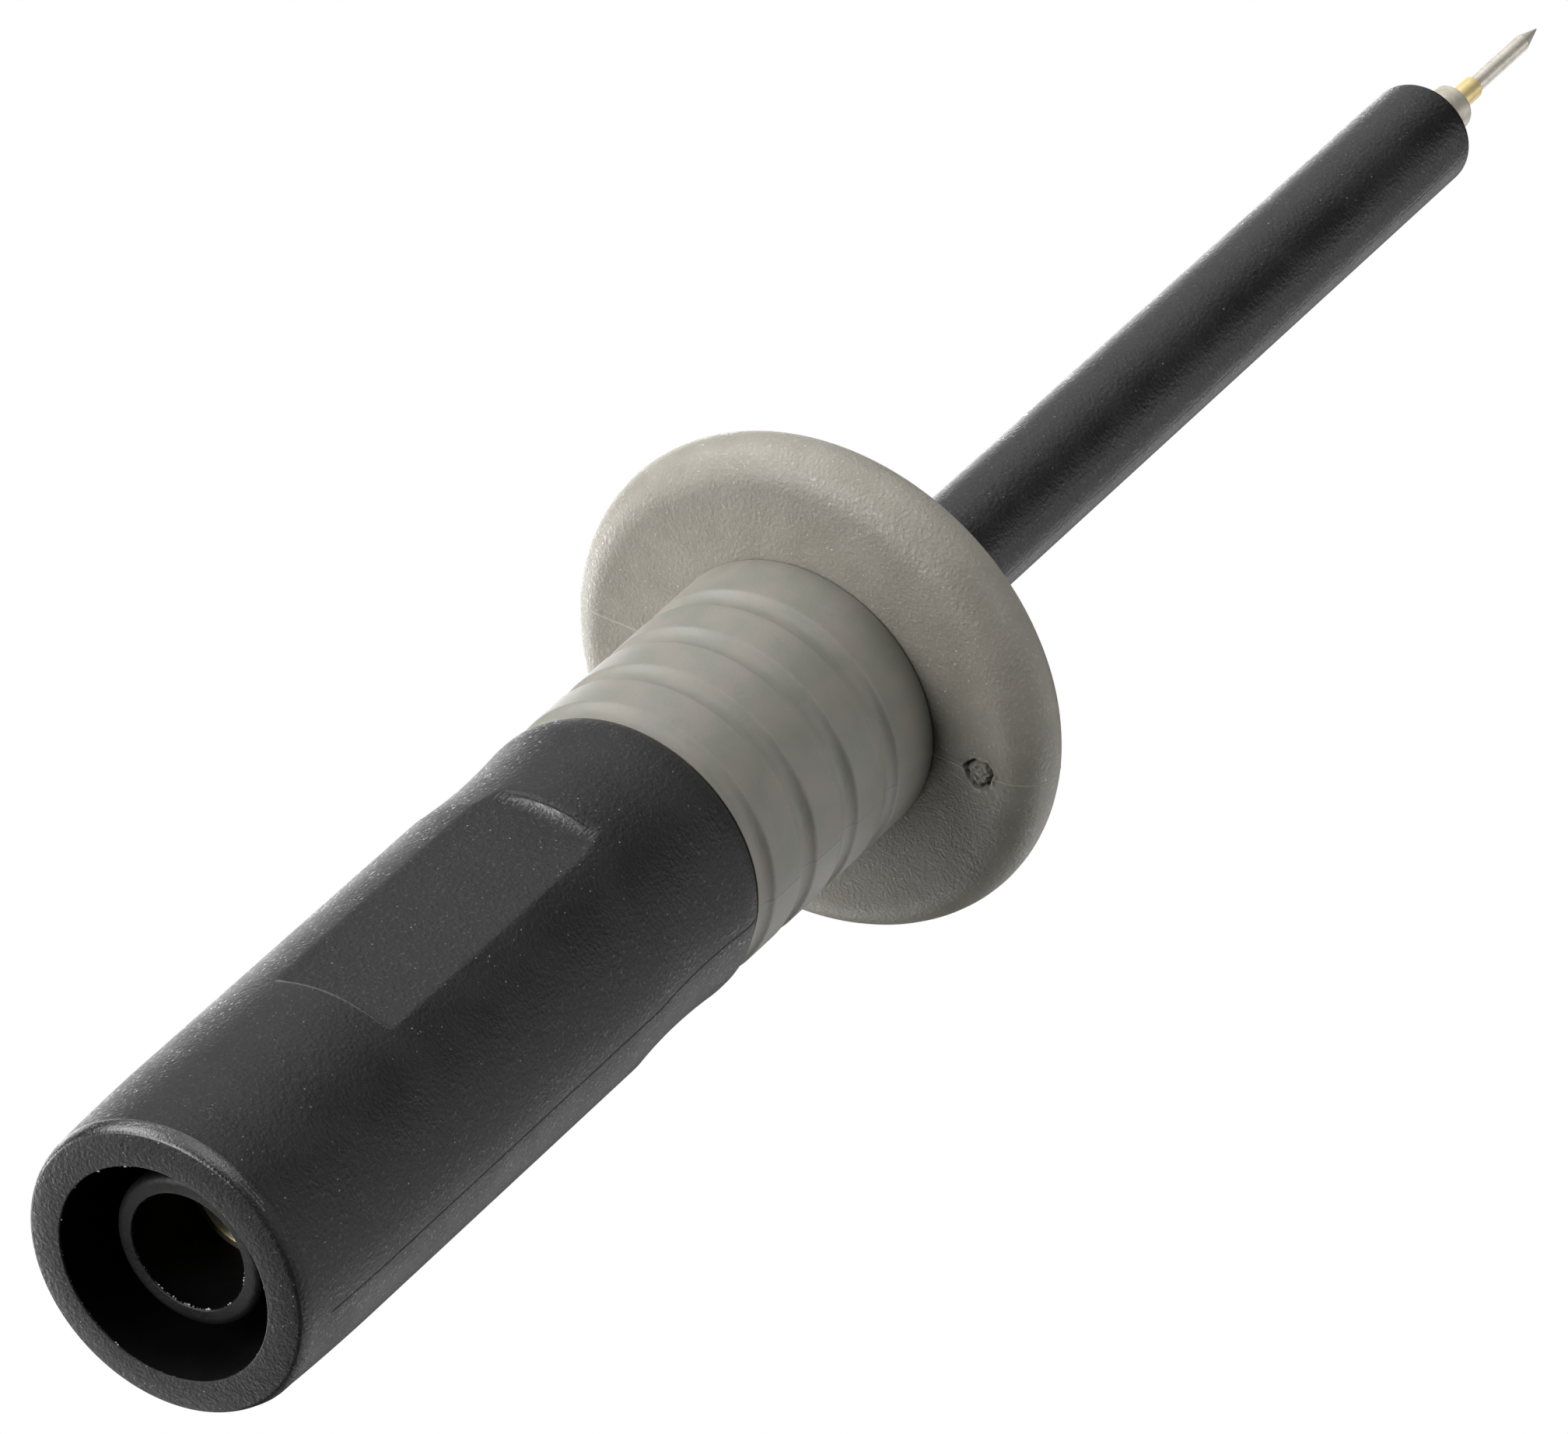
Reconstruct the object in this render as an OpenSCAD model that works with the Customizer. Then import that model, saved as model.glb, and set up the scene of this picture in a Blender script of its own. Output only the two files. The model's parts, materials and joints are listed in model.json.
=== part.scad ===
// Test probe: a moulded handle with a 4 mm safety socket at its rear, a ribbed grip sleeve, a round
// finger guard, a long insulated shaft and a spring-loaded needle at the tip.
// Millimetres. The axis is X and the needle points along +X. The origin is on the axis where the
// contact's round bore begins. The label panel faces +Z and the mould parting plane is XY.

/* [Socket] */
// diameter of the plug pin that the contact takes
plug_d = 4; // [3.6:0.1:4.2]
// length of the round bore in the contact
plug_depth = 19; // [18:0.5:20]
// how far the contact's bore begins inside the rear face
contact_setback = 5.7; // [4.8:0.1:6.5]
// wall of the turned contact
contact_wall = 0.6; // [0.5:0.05:0.65]
// diameter of the recess that takes the plug's shroud
recess_d = 9.4; // [9:0.1:9.6]
// outside diameter of the insulating tube in the recess
insulator_d = 6.66; // [6.6:0.02:6.9]
// how far the insulating tube sits inside the rear face
insulator_setback = 1.7; // [1:0.1:2.5]

/* [Handle] */
// diameter of the black handle body
handle_d = 12.92; // [12.8:0.02:14]
// length of the black body that shows
body_len = 33.1; // [32.8:0.1:36]
// radius of the round between the side and the rear face
rear_round = 1.55; // [1.2:0.05:1.7]
// depth of the soft waist ahead of the label panel
waist_depth = 0.17; // [0.1:0.01:0.3]
// length of the label panel
panel_len = 15.4; // [12:0.1:16]
// width of the flat label panel
panel_w = 5.28; // [4:0.02:6]
// distance of the label panel from the rear face
panel_setback = 11.4; // [9:0.1:12]

/* [Grip] */
// length of the ribbed sleeve
sleeve_len = 13.2; // [12.6:0.1:16]
// diameter over the sleeve's lands
sleeve_d = 12.68; // [12.4:0.02:12.7]
// number of full grooves round the sleeve
groove_count = 3; // [1:1:3]
// width of a groove
groove_w = 1.2; // [0.8:0.1:1.4]
// depth of a groove
groove_depth = 0.25; // [0.15:0.01:0.3]

/* [Guard] */
// diameter of the finger guard
guard_d = 22.2; // [20:0.2:28]
// thickness of the finger guard
guard_t = 3.2; // [2.8:0.1:4]
// length of the cone that backs the shaft ahead of the guard
nose_len = 4; // [3:0.5:7]

/* [Shaft] */
// outside diameter of the insulated shaft
sheath_d = 4.8; // [4.4:0.1:5.4]
// length of shaft ahead of the guard
sheath_len = 48.8; // [44:0.2:60]
// round on the shaft's front edge
sheath_round = 0.6; // [0.3:0.05:0.8]

/* [Tip] */
// diameter of the nickel bush in the shaft's end
bush_d = 2.14; // [2:0.02:2.3]
// how far the bush stands out of the shaft
bush_out = 2.3; // [1.5:0.1:3]
// outside diameter of the gold barrel
barrel_d = 1.04; // [1.02:0.01:1.1]
// how far the barrel stands out of the bush
barrel_out = 1.9; // [1.5:0.1:3]
// diameter of the needle
needle_d = 0.77; // [0.7:0.01:0.8]
// how far the needle stands out of the barrel
needle_out = 5.8; // [5.6:0.1:8]
// length of the needle's point
point_len = 1.4; // [1:0.1:1.6]
// how far the needle can be pressed in
travel = 4; // [2.5:0.1:4]

/* [Hidden] */

// facets round a turned piece, and round a small arc in its outline
round_n = 64;
arc_n = 40;
// how far a cutter runs past the face it cuts
past = 1;

// stations along the axis, from the start of the contact's bore
rear_x = -contact_setback;
insulator_x = rear_x + insulator_setback;
contact_shank = 2.7;
insulator_end_x = plug_depth + contact_shank;
recess_floor_t = 4.5;
recess_floor_x = insulator_end_x - recess_floor_t;
body_end_x = rear_x + body_len;
sleeve_end_x = body_end_x + sleeve_len;
guard_front_x = sleeve_end_x + guard_t;
core_end_x = sleeve_end_x + guard_t / 2;
sheath_end_x = guard_front_x + sheath_len;
bush_end_x = sheath_end_x + bush_out;
barrel_end_x = bush_end_x + barrel_out;
tip_x = barrel_end_x + needle_out;

// radii of the handle and its seats
handle_r = handle_d / 2;
recess_r = recess_d / 2;
insulator_r = insulator_d / 2;
core_r = 5.2;
pocket_r = 3.9;
sheath_r = sheath_d / 2;
rim_round = 0.12;

// soft taper of the rear end, and the round that the flat rear face cuts short; the lift makes the
// two meet at a faint ridge
face_trim = 0.4;
ridge_lift = 0.006;
round_x = rear_x - face_trim;
rear_run = 7;
rear_drop = 0.2;
rear_arc_r = (rear_run * rear_run + rear_drop * rear_drop) / (2 * rear_drop);
corner_r = handle_r - rear_arc_r + ridge_lift
    + sqrt(pow(rear_arc_r - rear_round, 2) - pow(rear_run - rear_round, 2));
corner_end = rear_round * (1 - (rear_run - rear_round) / (rear_arc_r - rear_round));

// rounded front end of the black body, and the soft waist behind it
end_inset = 0.04;
end_r = handle_r - end_inset;
end_drop = 0.32;
end_run = 0.9;
end_arc_r = (end_run * end_run + end_drop * end_drop) / (2 * end_drop);
waist_half = 3.4;
waist_x = body_end_x - end_run - waist_half;
waist_arc_r = (waist_half * waist_half + waist_depth * waist_depth) / (2 * waist_depth);

// label panel: a flat floor with steep ends and a small round at their foot
panel_z = sqrt(handle_r * handle_r - panel_w * panel_w / 4);
panel_x = rear_x + panel_setback;
foot_r = 0.2;

// contact
contact_r = plug_d / 2 + contact_wall;
contact_chamfer = 0.15;
contact_flange_r = 3.2;
contact_flange_t = 1;
cup_r = 1.7;
cup_len = 5;
cup_depth = 4;
cup_x = insulator_end_x + contact_flange_t;
witness_r = 0.4;
mouth_step = 0.45;
mouth_r = plug_d / 2 + mouth_step;
insulator_round = 0.4;

// wire and shaft flange inside the handle
wire_r = 0.5;
sheath_bore_r = bush_d / 2;
shaft_flange_t = 3;
spacer_len = 9;
shaft_flange_x = insulator_end_x + spacer_len;
pocket_end_x = shaft_flange_x + shaft_flange_t;

// grip sleeve: the first valley lies against the black body
sleeve_r = sleeve_d / 2;
valley_run = 1.1;
valley_drop = sleeve_r - (end_r - end_drop);
valley_arc_r = (valley_run * valley_run + valley_drop * valley_drop) / (2 * valley_drop);
last_land = 0.5;
valley_lead = 0.2;
groove_pitch = (sleeve_len - last_land) / 4;
groove_arc_r = (groove_w * groove_w / 4 + groove_depth * groove_depth) / (2 * groove_depth);
first_groove_x = body_end_x + groove_w / 2 - valley_lead;
sleeve_edge = 0.15;

// guard
guard_r = guard_d / 2;
nose_root_wall = 1.6;
nose_tip_wall = 0.8;
nose_root_r = sheath_r + nose_root_wall;
nose_tip_r = sheath_r + nose_tip_wall;
nose_end_x = guard_front_x + nose_len;
gate_r = 0.55;
gate_ring = 0.12;
gate_depth = 0.15;
gate_y = -8.2;
// turn of the disc's seam about the axis, so that a probe that lies down doesn't balance on it
seam_turn = 2.4;

// thicker root of the shaft, seated in handle and guard, with a small cone ahead of the nose
root_step = 0.3;
root_cone = 0.4;
root_r = sheath_r + root_step;

// spring contact probe
probe_clear = 0.02;
bore_r = needle_d / 2 + probe_clear;
barrel_r = barrel_d / 2;
barrel_len = 24;
barrel_base_t = 0.6;
barrel_x = barrel_end_x - barrel_len;
receptacle_r = 0.66;
crimp_len = 4;
receptacle_x = barrel_x - crimp_len;
receptacle_inset = 0.2;
receptacle_end_x = bush_end_x - receptacle_inset;
bush_len = 12;
wire_x = cup_x + cup_len - cup_depth;
neck_r = 0.25;
neck_clear = 0.04;
lip_r = neck_r + neck_clear;
lip_w = 0.5;
lip_gap = 0.05;
stroke_spare = 0.4;
guide_len = 1;
shoulder_x = barrel_end_x - guide_len;
tail_len = 3;
tail_end_x = shoulder_x - travel - lip_w - stroke_spare;
tail_x = tail_end_x - tail_len;
lip_x = tail_end_x + lip_gap;
roll_depth = 0.07;
roll_arc_r = (lip_w * lip_w / 4 + roll_depth * roll_depth) / (2 * roll_depth);
point_flat_r = 0.03;

// plunger spring
spring_wire_r = 0.06;
spring_r = bore_r - probe_clear - spring_wire_r;
spring_x0 = barrel_x + barrel_base_t + spring_wire_r;
spring_x1 = tail_x - spring_wire_r;
spring_turns = 28;
turn_steps = 14;
wire_sides = 6;

// turns a flat outline round the X axis; the outline's x is the radius and its y the station
module about_x() {
    rotate([0, 90, 0])
        rotate_extrude($fn = round_n)
            children();
}

// outline of a tube or disc
module ring(r_in, r_out, x_from, x_to) {
    translate([r_in, x_from])
        square([r_out - r_in, x_to - x_from]);
}

// what rounds an outer edge away; side is 1 when the solid lies ahead of the edge, -1 when behind
module edge_cut(r, x, f, side) {
    translate([r - f, x + side * f])
        difference() {
            translate([0, side > 0 ? -f - past : 0])
                square([f + past, f + past]);
            circle(r = f, $fn = arc_n);
        }
}

// what rounds the rear edge of a bore
module mouth_cut(r, x, f) {
    translate([r + f, x + f])
        difference() {
            translate([-f, -f - past])
                square([f, f + past]);
            circle(r = f, $fn = arc_n);
        }
}

module handle_shell() {
    about_x()
        difference() {
            union() {
                intersection() {
                    ring(0, handle_r, rear_x, round_x + rear_run);
                    translate([handle_r - rear_arc_r, round_x + rear_run])
                        circle(r = rear_arc_r, $fn = 20 * arc_n);
                }
                ring(0, handle_r, round_x + rear_run, waist_x);
                ring(0, end_r, waist_x, body_end_x - end_run);
                intersection() {
                    ring(0, end_r, body_end_x - end_run, body_end_x);
                    union() {
                        ring(0, end_r - end_arc_r, body_end_x - end_run, body_end_x);
                        translate([end_r - end_arc_r, body_end_x - end_run])
                            circle(r = end_arc_r, $fn = 2 * arc_n);
                    }
                }
                ring(0, core_r, body_end_x, core_end_x);
            }
            difference() {
                translate([corner_r, round_x - past])
                    square([rear_round + past, corner_end + past]);
                translate([corner_r, round_x + rear_round])
                    circle(r = rear_round, $fn = 2 * arc_n);
            }
            translate([handle_r - waist_depth + waist_arc_r, waist_x])
                circle(r = waist_arc_r, $fn = 8 * arc_n);
            ring(0, recess_r, rear_x - past, insulator_end_x);
            mouth_cut(recess_r, rear_x, rim_round);
            ring(0, pocket_r, insulator_end_x - past, pocket_end_x);
            ring(0, root_r, pocket_end_x - past, core_end_x + past);
        }
}

module panel_cut() {
    translate([panel_x, -panel_w, panel_z + foot_r])
        cube([panel_len, 2 * panel_w, handle_r]);
    translate([panel_x + foot_r, -panel_w, panel_z])
        cube([panel_len - 2 * foot_r, 2 * panel_w, handle_r]);
    for (end_x = [panel_x + foot_r, panel_x + panel_len - foot_r])
        translate([end_x, 0, panel_z + foot_r])
            rotate([90, 0, 0])
                cylinder(h = 2 * panel_w, r = foot_r, center = true, $fn = arc_n);
}

module handle_body() {
    color([0.06, 0.06, 0.065])
        difference() {
            handle_shell();
            panel_cut();
        }
}

module socket_insulator() {
    color([0.05, 0.05, 0.055])
        about_x()
            difference() {
                union() {
                    ring(0, insulator_r, insulator_x, recess_floor_x);
                    ring(0, recess_r, recess_floor_x, insulator_end_x);
                }
                edge_cut(insulator_r, insulator_x, insulator_round, 1);
                ring(0, mouth_r, insulator_x - past, past);
                mouth_cut(mouth_r, insulator_x, rim_round);
                ring(0, contact_r, -contact_chamfer, insulator_end_x + past);
            }
}

module socket_contact() {
    color([0.83, 0.72, 0.45])
        difference() {
            about_x()
                difference() {
                    union() {
                        ring(0, contact_r, -contact_chamfer, insulator_end_x);
                        ring(0, contact_flange_r, insulator_end_x, cup_x);
                        ring(0, cup_r, cup_x, cup_x + cup_len);
                    }
                    ring(0, plug_d / 2, -past, plug_depth);
                    polygon([
                        [0, -past],
                        [plug_d / 2 + past, -past],
                        [plug_d / 2, 0],
                        [0, 0]
                    ]);
                    ring(0, wire_r, wire_x, cup_x + cup_len + past);
                }
            translate([wire_x + witness_r, 0, 0])
                cylinder(h = cup_r + past, r = witness_r, $fn = arc_n);
        }
}

module spacer_tube() {
    color([0.85, 0.84, 0.8])
        about_x()
            ring(contact_flange_r, pocket_r, insulator_end_x, shaft_flange_x);
}

module grip_sleeve() {
    color([0.5, 0.5, 0.46])
        about_x()
            difference() {
                union() {
                    ring(core_r, sleeve_r, body_end_x + valley_run, sleeve_end_x);
                    intersection() {
                        ring(core_r, sleeve_r, body_end_x, body_end_x + valley_run);
                        translate([sleeve_r - valley_arc_r, body_end_x + valley_run])
                            circle(r = valley_arc_r, $fn = 3 * arc_n);
                    }
                }
                for (i = [1:groove_count])
                    translate([
                        sleeve_r - groove_depth + groove_arc_r,
                        first_groove_x + i * groove_pitch
                    ])
                        circle(r = groove_arc_r, $fn = 2 * arc_n);
                edge_cut(sleeve_r, sleeve_end_x, sleeve_edge, -1);
            }
}

module finger_guard() {
    rim_r = guard_t / 2;
    color([0.47, 0.47, 0.44])
        difference() {
            rotate([seam_turn, 0, 0]) about_x()
                difference() {
                    union() {
                        ring(0, guard_r - rim_r, sleeve_end_x, guard_front_x);
                        translate([guard_r - rim_r, sleeve_end_x + rim_r])
                            circle(r = rim_r, $fn = 2 * arc_n);
                        polygon([
                            [0, guard_front_x],
                            [nose_root_r, guard_front_x],
                            [nose_tip_r, nose_end_x],
                            [0, nose_end_x]
                        ]);
                    }
                    ring(0, core_r, sleeve_end_x - past, core_end_x);
                    ring(0, root_r, core_end_x - past, nose_end_x + past);
                }
            translate([sleeve_end_x, gate_y, 0])
                rotate([0, 90, 0])
                    difference() {
                        cylinder(h = 2 * gate_depth, r = gate_r + gate_ring, center = true, $fn = arc_n);
                        cylinder(h = 2 * gate_depth, r = gate_r, center = true, $fn = arc_n);
                    }
        }
}

module shaft_sheath() {
    color([0.06, 0.06, 0.065])
        about_x()
            difference() {
                union() {
                    ring(0, pocket_r, shaft_flange_x, pocket_end_x);
                    ring(0, root_r, pocket_end_x, nose_end_x);
                    polygon([
                        [0, nose_end_x],
                        [root_r, nose_end_x],
                        [sheath_r, nose_end_x + root_cone],
                        [0, nose_end_x + root_cone]
                    ]);
                    ring(0, sheath_r, nose_end_x, sheath_end_x);
                }
                edge_cut(sheath_r, sheath_end_x, sheath_round, -1);
                ring(0, sheath_bore_r, shaft_flange_x - past, sheath_end_x + past);
            }
}

module wire_core() {
    color([0.8, 0.45, 0.3])
        about_x()
            ring(0, wire_r, wire_x, barrel_x);
}

module wire_insulation() {
    color([0.7, 0.12, 0.1])
        about_x()
            ring(wire_r, sheath_bore_r, cup_x + cup_len, receptacle_x);
}

module probe_receptacle() {
    color([0.8, 0.66, 0.35])
        about_x()
            difference() {
                ring(wire_r, receptacle_r, receptacle_x, receptacle_end_x);
                ring(0, barrel_r, barrel_x, receptacle_end_x + past);
            }
}

module tip_bush() {
    color([0.72, 0.71, 0.68])
        about_x()
            difference() {
                ring(receptacle_r, bush_d / 2, bush_end_x - bush_len, bush_end_x);
                edge_cut(bush_d / 2, bush_end_x, contact_chamfer, -1);
            }
}

module probe_barrel() {
    color([0.85, 0.68, 0.3])
        about_x()
            difference() {
                ring(0, barrel_r, barrel_x, barrel_end_x);
                ring(0, bore_r, barrel_x + barrel_base_t, lip_x);
                ring(0, lip_r, lip_x - past, lip_x + lip_w + past);
                ring(0, bore_r, lip_x + lip_w, barrel_end_x + past);
                edge_cut(barrel_r, barrel_end_x, roll_depth, -1);
                translate([barrel_r - roll_depth + roll_arc_r, lip_x + lip_w / 2])
                    circle(r = roll_arc_r, $fn = arc_n);
            }
}

module probe_plunger() {
    needle_r = needle_d / 2;
    color([0.78, 0.77, 0.75])
        about_x()
            union() {
                ring(0, needle_r, tail_x, tail_end_x);
                ring(0, neck_r, tail_end_x, shoulder_x);
                ring(0, needle_r, shoulder_x, tip_x - point_len);
                polygon([
                    [0, tip_x - point_len],
                    [needle_r, tip_x - point_len],
                    [point_flat_r, tip_x],
                    [0, tip_x]
                ]);
            }
}

// a round wire coiled round the axis, with flat ends
module plunger_spring() {
    steps = spring_turns * turn_steps;
    rise = (spring_x1 - spring_x0) / steps;
    points = [
        for (i = [0:steps], k = [0:wire_sides - 1])
            let (
                turn = 360 * i / turn_steps,
                side = 360 * k / wire_sides,
                reach = spring_r + spring_wire_r * cos(side)
            )
            [
                spring_x0 + rise * i + spring_wire_r * sin(side),
                reach * cos(turn),
                reach * sin(turn)
            ]
    ];
    walls = [
        for (i = [0:steps - 1], k = [0:wire_sides - 1])
            let (
                here = i * wire_sides,
                next = (k + 1) % wire_sides
            )
            [here + k, here + next, here + wire_sides + next, here + wire_sides + k]
    ];
    start = [for (k = [0:wire_sides - 1]) wire_sides - 1 - k];
    finish = [for (k = [0:wire_sides - 1]) steps * wire_sides + k];
    color([0.75, 0.74, 0.7])
        polyhedron(points = points, faces = concat(walls, [start, finish]), convexity = 10);
}

handle_body();
socket_insulator();
socket_contact();
spacer_tube();
grip_sleeve();
finger_guard();
shaft_sheath();
wire_core();
wire_insulation();
probe_receptacle();
tip_bush();
probe_barrel();
plunger_spring();
probe_plunger();
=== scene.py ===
"""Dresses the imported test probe: handle, safety socket, ribbed grip, guard, shaft and needle tip.

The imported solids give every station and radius. Each visible piece is turned again here with finer
edges, mould marks and a procedural finish, and stands for its solid. The sealed inner solids keep
their own meshes and only get a finish. Sizes are in millimetres and become metres in the meshes.
"""

from __future__ import annotations

import json
import logging
import math
from collections.abc import Callable, Sequence
from dataclasses import dataclass
from enum import Enum

import bpy
import numpy as np
from mathutils import Matrix, Vector

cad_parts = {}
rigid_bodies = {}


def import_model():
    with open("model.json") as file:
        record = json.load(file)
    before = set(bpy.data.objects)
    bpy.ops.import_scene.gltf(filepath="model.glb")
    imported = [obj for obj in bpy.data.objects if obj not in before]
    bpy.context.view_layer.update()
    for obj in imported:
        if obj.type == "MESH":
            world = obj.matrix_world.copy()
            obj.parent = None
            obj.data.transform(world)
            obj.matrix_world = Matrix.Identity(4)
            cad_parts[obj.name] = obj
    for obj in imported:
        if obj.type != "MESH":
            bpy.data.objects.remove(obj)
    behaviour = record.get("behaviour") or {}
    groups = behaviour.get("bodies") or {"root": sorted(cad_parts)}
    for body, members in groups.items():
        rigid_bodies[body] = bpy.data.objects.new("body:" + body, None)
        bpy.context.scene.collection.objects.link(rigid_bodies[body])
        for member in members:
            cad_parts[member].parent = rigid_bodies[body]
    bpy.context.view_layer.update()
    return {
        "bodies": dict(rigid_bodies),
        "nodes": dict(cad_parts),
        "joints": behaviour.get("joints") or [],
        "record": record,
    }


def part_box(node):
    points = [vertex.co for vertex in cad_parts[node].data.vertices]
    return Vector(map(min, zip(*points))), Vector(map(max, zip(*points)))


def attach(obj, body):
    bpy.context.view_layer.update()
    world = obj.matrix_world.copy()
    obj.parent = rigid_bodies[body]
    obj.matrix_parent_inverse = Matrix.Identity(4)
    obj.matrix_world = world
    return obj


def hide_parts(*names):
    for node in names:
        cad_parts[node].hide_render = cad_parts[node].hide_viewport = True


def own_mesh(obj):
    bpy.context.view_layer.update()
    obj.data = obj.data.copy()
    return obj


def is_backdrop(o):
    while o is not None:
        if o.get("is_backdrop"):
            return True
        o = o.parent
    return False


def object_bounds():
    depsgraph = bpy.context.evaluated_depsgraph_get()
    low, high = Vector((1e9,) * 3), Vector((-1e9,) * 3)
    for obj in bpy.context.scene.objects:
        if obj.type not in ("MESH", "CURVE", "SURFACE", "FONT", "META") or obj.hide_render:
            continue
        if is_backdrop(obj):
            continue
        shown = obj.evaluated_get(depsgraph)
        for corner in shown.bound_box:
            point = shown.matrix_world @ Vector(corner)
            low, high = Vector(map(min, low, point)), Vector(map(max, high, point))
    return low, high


LOG = logging.getLogger("test_probe")
MM = 0.001

SHARP = math.radians(42)  # edges that turn further than this stay sharp
OUTWARD = 0.6  # a face belongs to an outer wall where its normal's outward share is above this
CORE_R = 5.2  # the handle's long core, which carries the sleeve and the guard
ROOT_R = 2.7  # the bore that holds the shaft's root
SHAFT_R = 2.4
FLANGE_LEN = 3.0  # the shaft's flange, caught inside the handle

Outline = list[tuple[float, float]]
Colour = tuple[float, float, float]
Output = bpy.types.NodeSocket
Stretch = tuple[float, float, float]  # centre, half width and step of finer columns, in degrees
Waves = tuple[tuple[float, float, float], ...]  # height, rate and phase of each wave


class Body(str, Enum):
    """The record's material slots."""

    PROBE = "probe"
    PLUNGER = "plunger"


class Slot(str, Enum):
    """The record's material slots that the pieces take."""

    BLACK = "black_plastic"
    GREY_HARD = "grey_plastic"
    GREY_SOFT = "grey_rubber"
    BRASS = "plated_brass"
    GOLD = "gold_plate"
    NICKEL = "nickel"
    STEEL = "spring_steel"


# ---- node trees ----


class Sketch:
    """A short way to write the nodes and links of one tree."""

    def __init__(self, tree: bpy.types.NodeTree) -> None:
        """Empties the tree that is to be filled."""
        self.tree = tree
        tree.nodes.clear()

    def feed(self, node: bpy.types.Node, inputs: dict) -> bpy.types.Node:
        """Fills a node's inputs.

        Args:
            node: The node.
            inputs: Socket names or numbers, each with a value or with a socket to link from.

        Returns:
            The node.
        """
        for key, value in inputs.items():
            if isinstance(value, bpy.types.NodeSocket):
                self.tree.links.new(value, node.inputs[key])
            else:
                node.inputs[key].default_value = value
        return node

    def node(self, kind: str, inputs: dict | None = None, **props) -> bpy.types.Node:
        """Adds a node.

        Args:
            kind: The node's type name.
            inputs: Its inputs, as feed takes them.
            **props: The node's own settings.

        Returns:
            The new node.
        """
        made = self.tree.nodes.new(kind)
        for name, value in props.items():
            setattr(made, name, value)
        return self.feed(made, inputs or {})

    def math(self, operation: str, *values) -> Output:
        """Adds a Math node and gives its result."""
        return self.node("ShaderNodeMath", dict(enumerate(values)), operation=operation).outputs[0]

    def vector(self, operation: str, *values) -> Output:
        """Adds a Vector Math node and gives its result, a number for a length or a dot product."""
        keys = (0, "Scale") if operation == "SCALE" else (0, 1)
        made = self.node("ShaderNodeVectorMath", dict(zip(keys, values)), operation=operation)
        return made.outputs["Value" if operation in ("LENGTH", "DOT_PRODUCT") else 0]

    def noise(self, inputs: dict, **props) -> Output:
        """Adds a Noise Texture node and gives its value."""
        return self.node("ShaderNodeTexNoise", inputs, **props).outputs["Fac"]

    def ramp(
        self, value: Output, low: float, high: float, floor: float = 0.0, smooth: bool = False
    ) -> Output:
        """Maps a value to a share of 1, and holds it there beyond both ends.

        Args:
            value: The value.
            low: Where the share is lowest.
            high: Where the share is 1.
            floor: The lowest share.
            smooth: Whether both ends are eased.

        Returns:
            The share.
        """
        ends = {"Value": value, "From Min": low, "From Max": high, "To Min": floor}
        kind = "SMOOTHSTEP" if smooth else "LINEAR"
        return self.node("ShaderNodeMapRange", ends, interpolation_type=kind).outputs["Result"]

    def mix(self, factor: Output, first: object, second: object) -> Output:
        """Mixes two colours by a factor and gives the result."""
        inputs = {"Factor": factor, 6: first, 7: second}
        return self.node("ShaderNodeMix", inputs, data_type="RGBA").outputs[2]

    def bump(self, height: Output, depth: float) -> Output:
        """Bends the normal by a height whose 1 is a depth in millimetres."""
        inputs = {"Height": height, "Strength": 1.0, "Distance": depth * MM}
        return self.node("ShaderNodeBump", inputs).outputs[0]

    def group(self, name: str, inputs: dict) -> bpy.types.NodeOutputs:
        """Places a shared shader group and gives its outputs."""
        return self.node("ShaderNodeGroup", inputs, node_tree=bpy.data.node_groups[name]).outputs


def open_group(
    kind: str, name: str, inputs: dict[str, object], outputs: dict[str, str]
) -> tuple[Sketch, bpy.types.NodeOutputs, bpy.types.Node]:
    """Makes a node group with named sockets.

    Args:
        kind: "ShaderNodeTree" or "GeometryNodeTree".
        name: The group's name.
        inputs: The default of each input, or the socket kind of one that has none.
        outputs: The socket kind of each output.

    Returns:
        The sketch, the sockets of the group's inputs and its output node.
    """
    kinds = {float: "Float", int: "Int", tuple: "Color"}
    tree = bpy.data.node_groups.new(name, kind)
    for label, default in inputs.items():
        plain = isinstance(default, str)
        socket = "NodeSocket" + (default if plain else kinds[type(default)])
        made = tree.interface.new_socket(label, in_out="INPUT", socket_type=socket)
        if not plain:
            made.default_value = default
    for label, socket in outputs.items():
        tree.interface.new_socket(label, in_out="OUTPUT", socket_type="NodeSocket" + socket)
    sketch = Sketch(tree)
    return sketch, sketch.node("NodeGroupInput").outputs, sketch.node("NodeGroupOutput")


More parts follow.
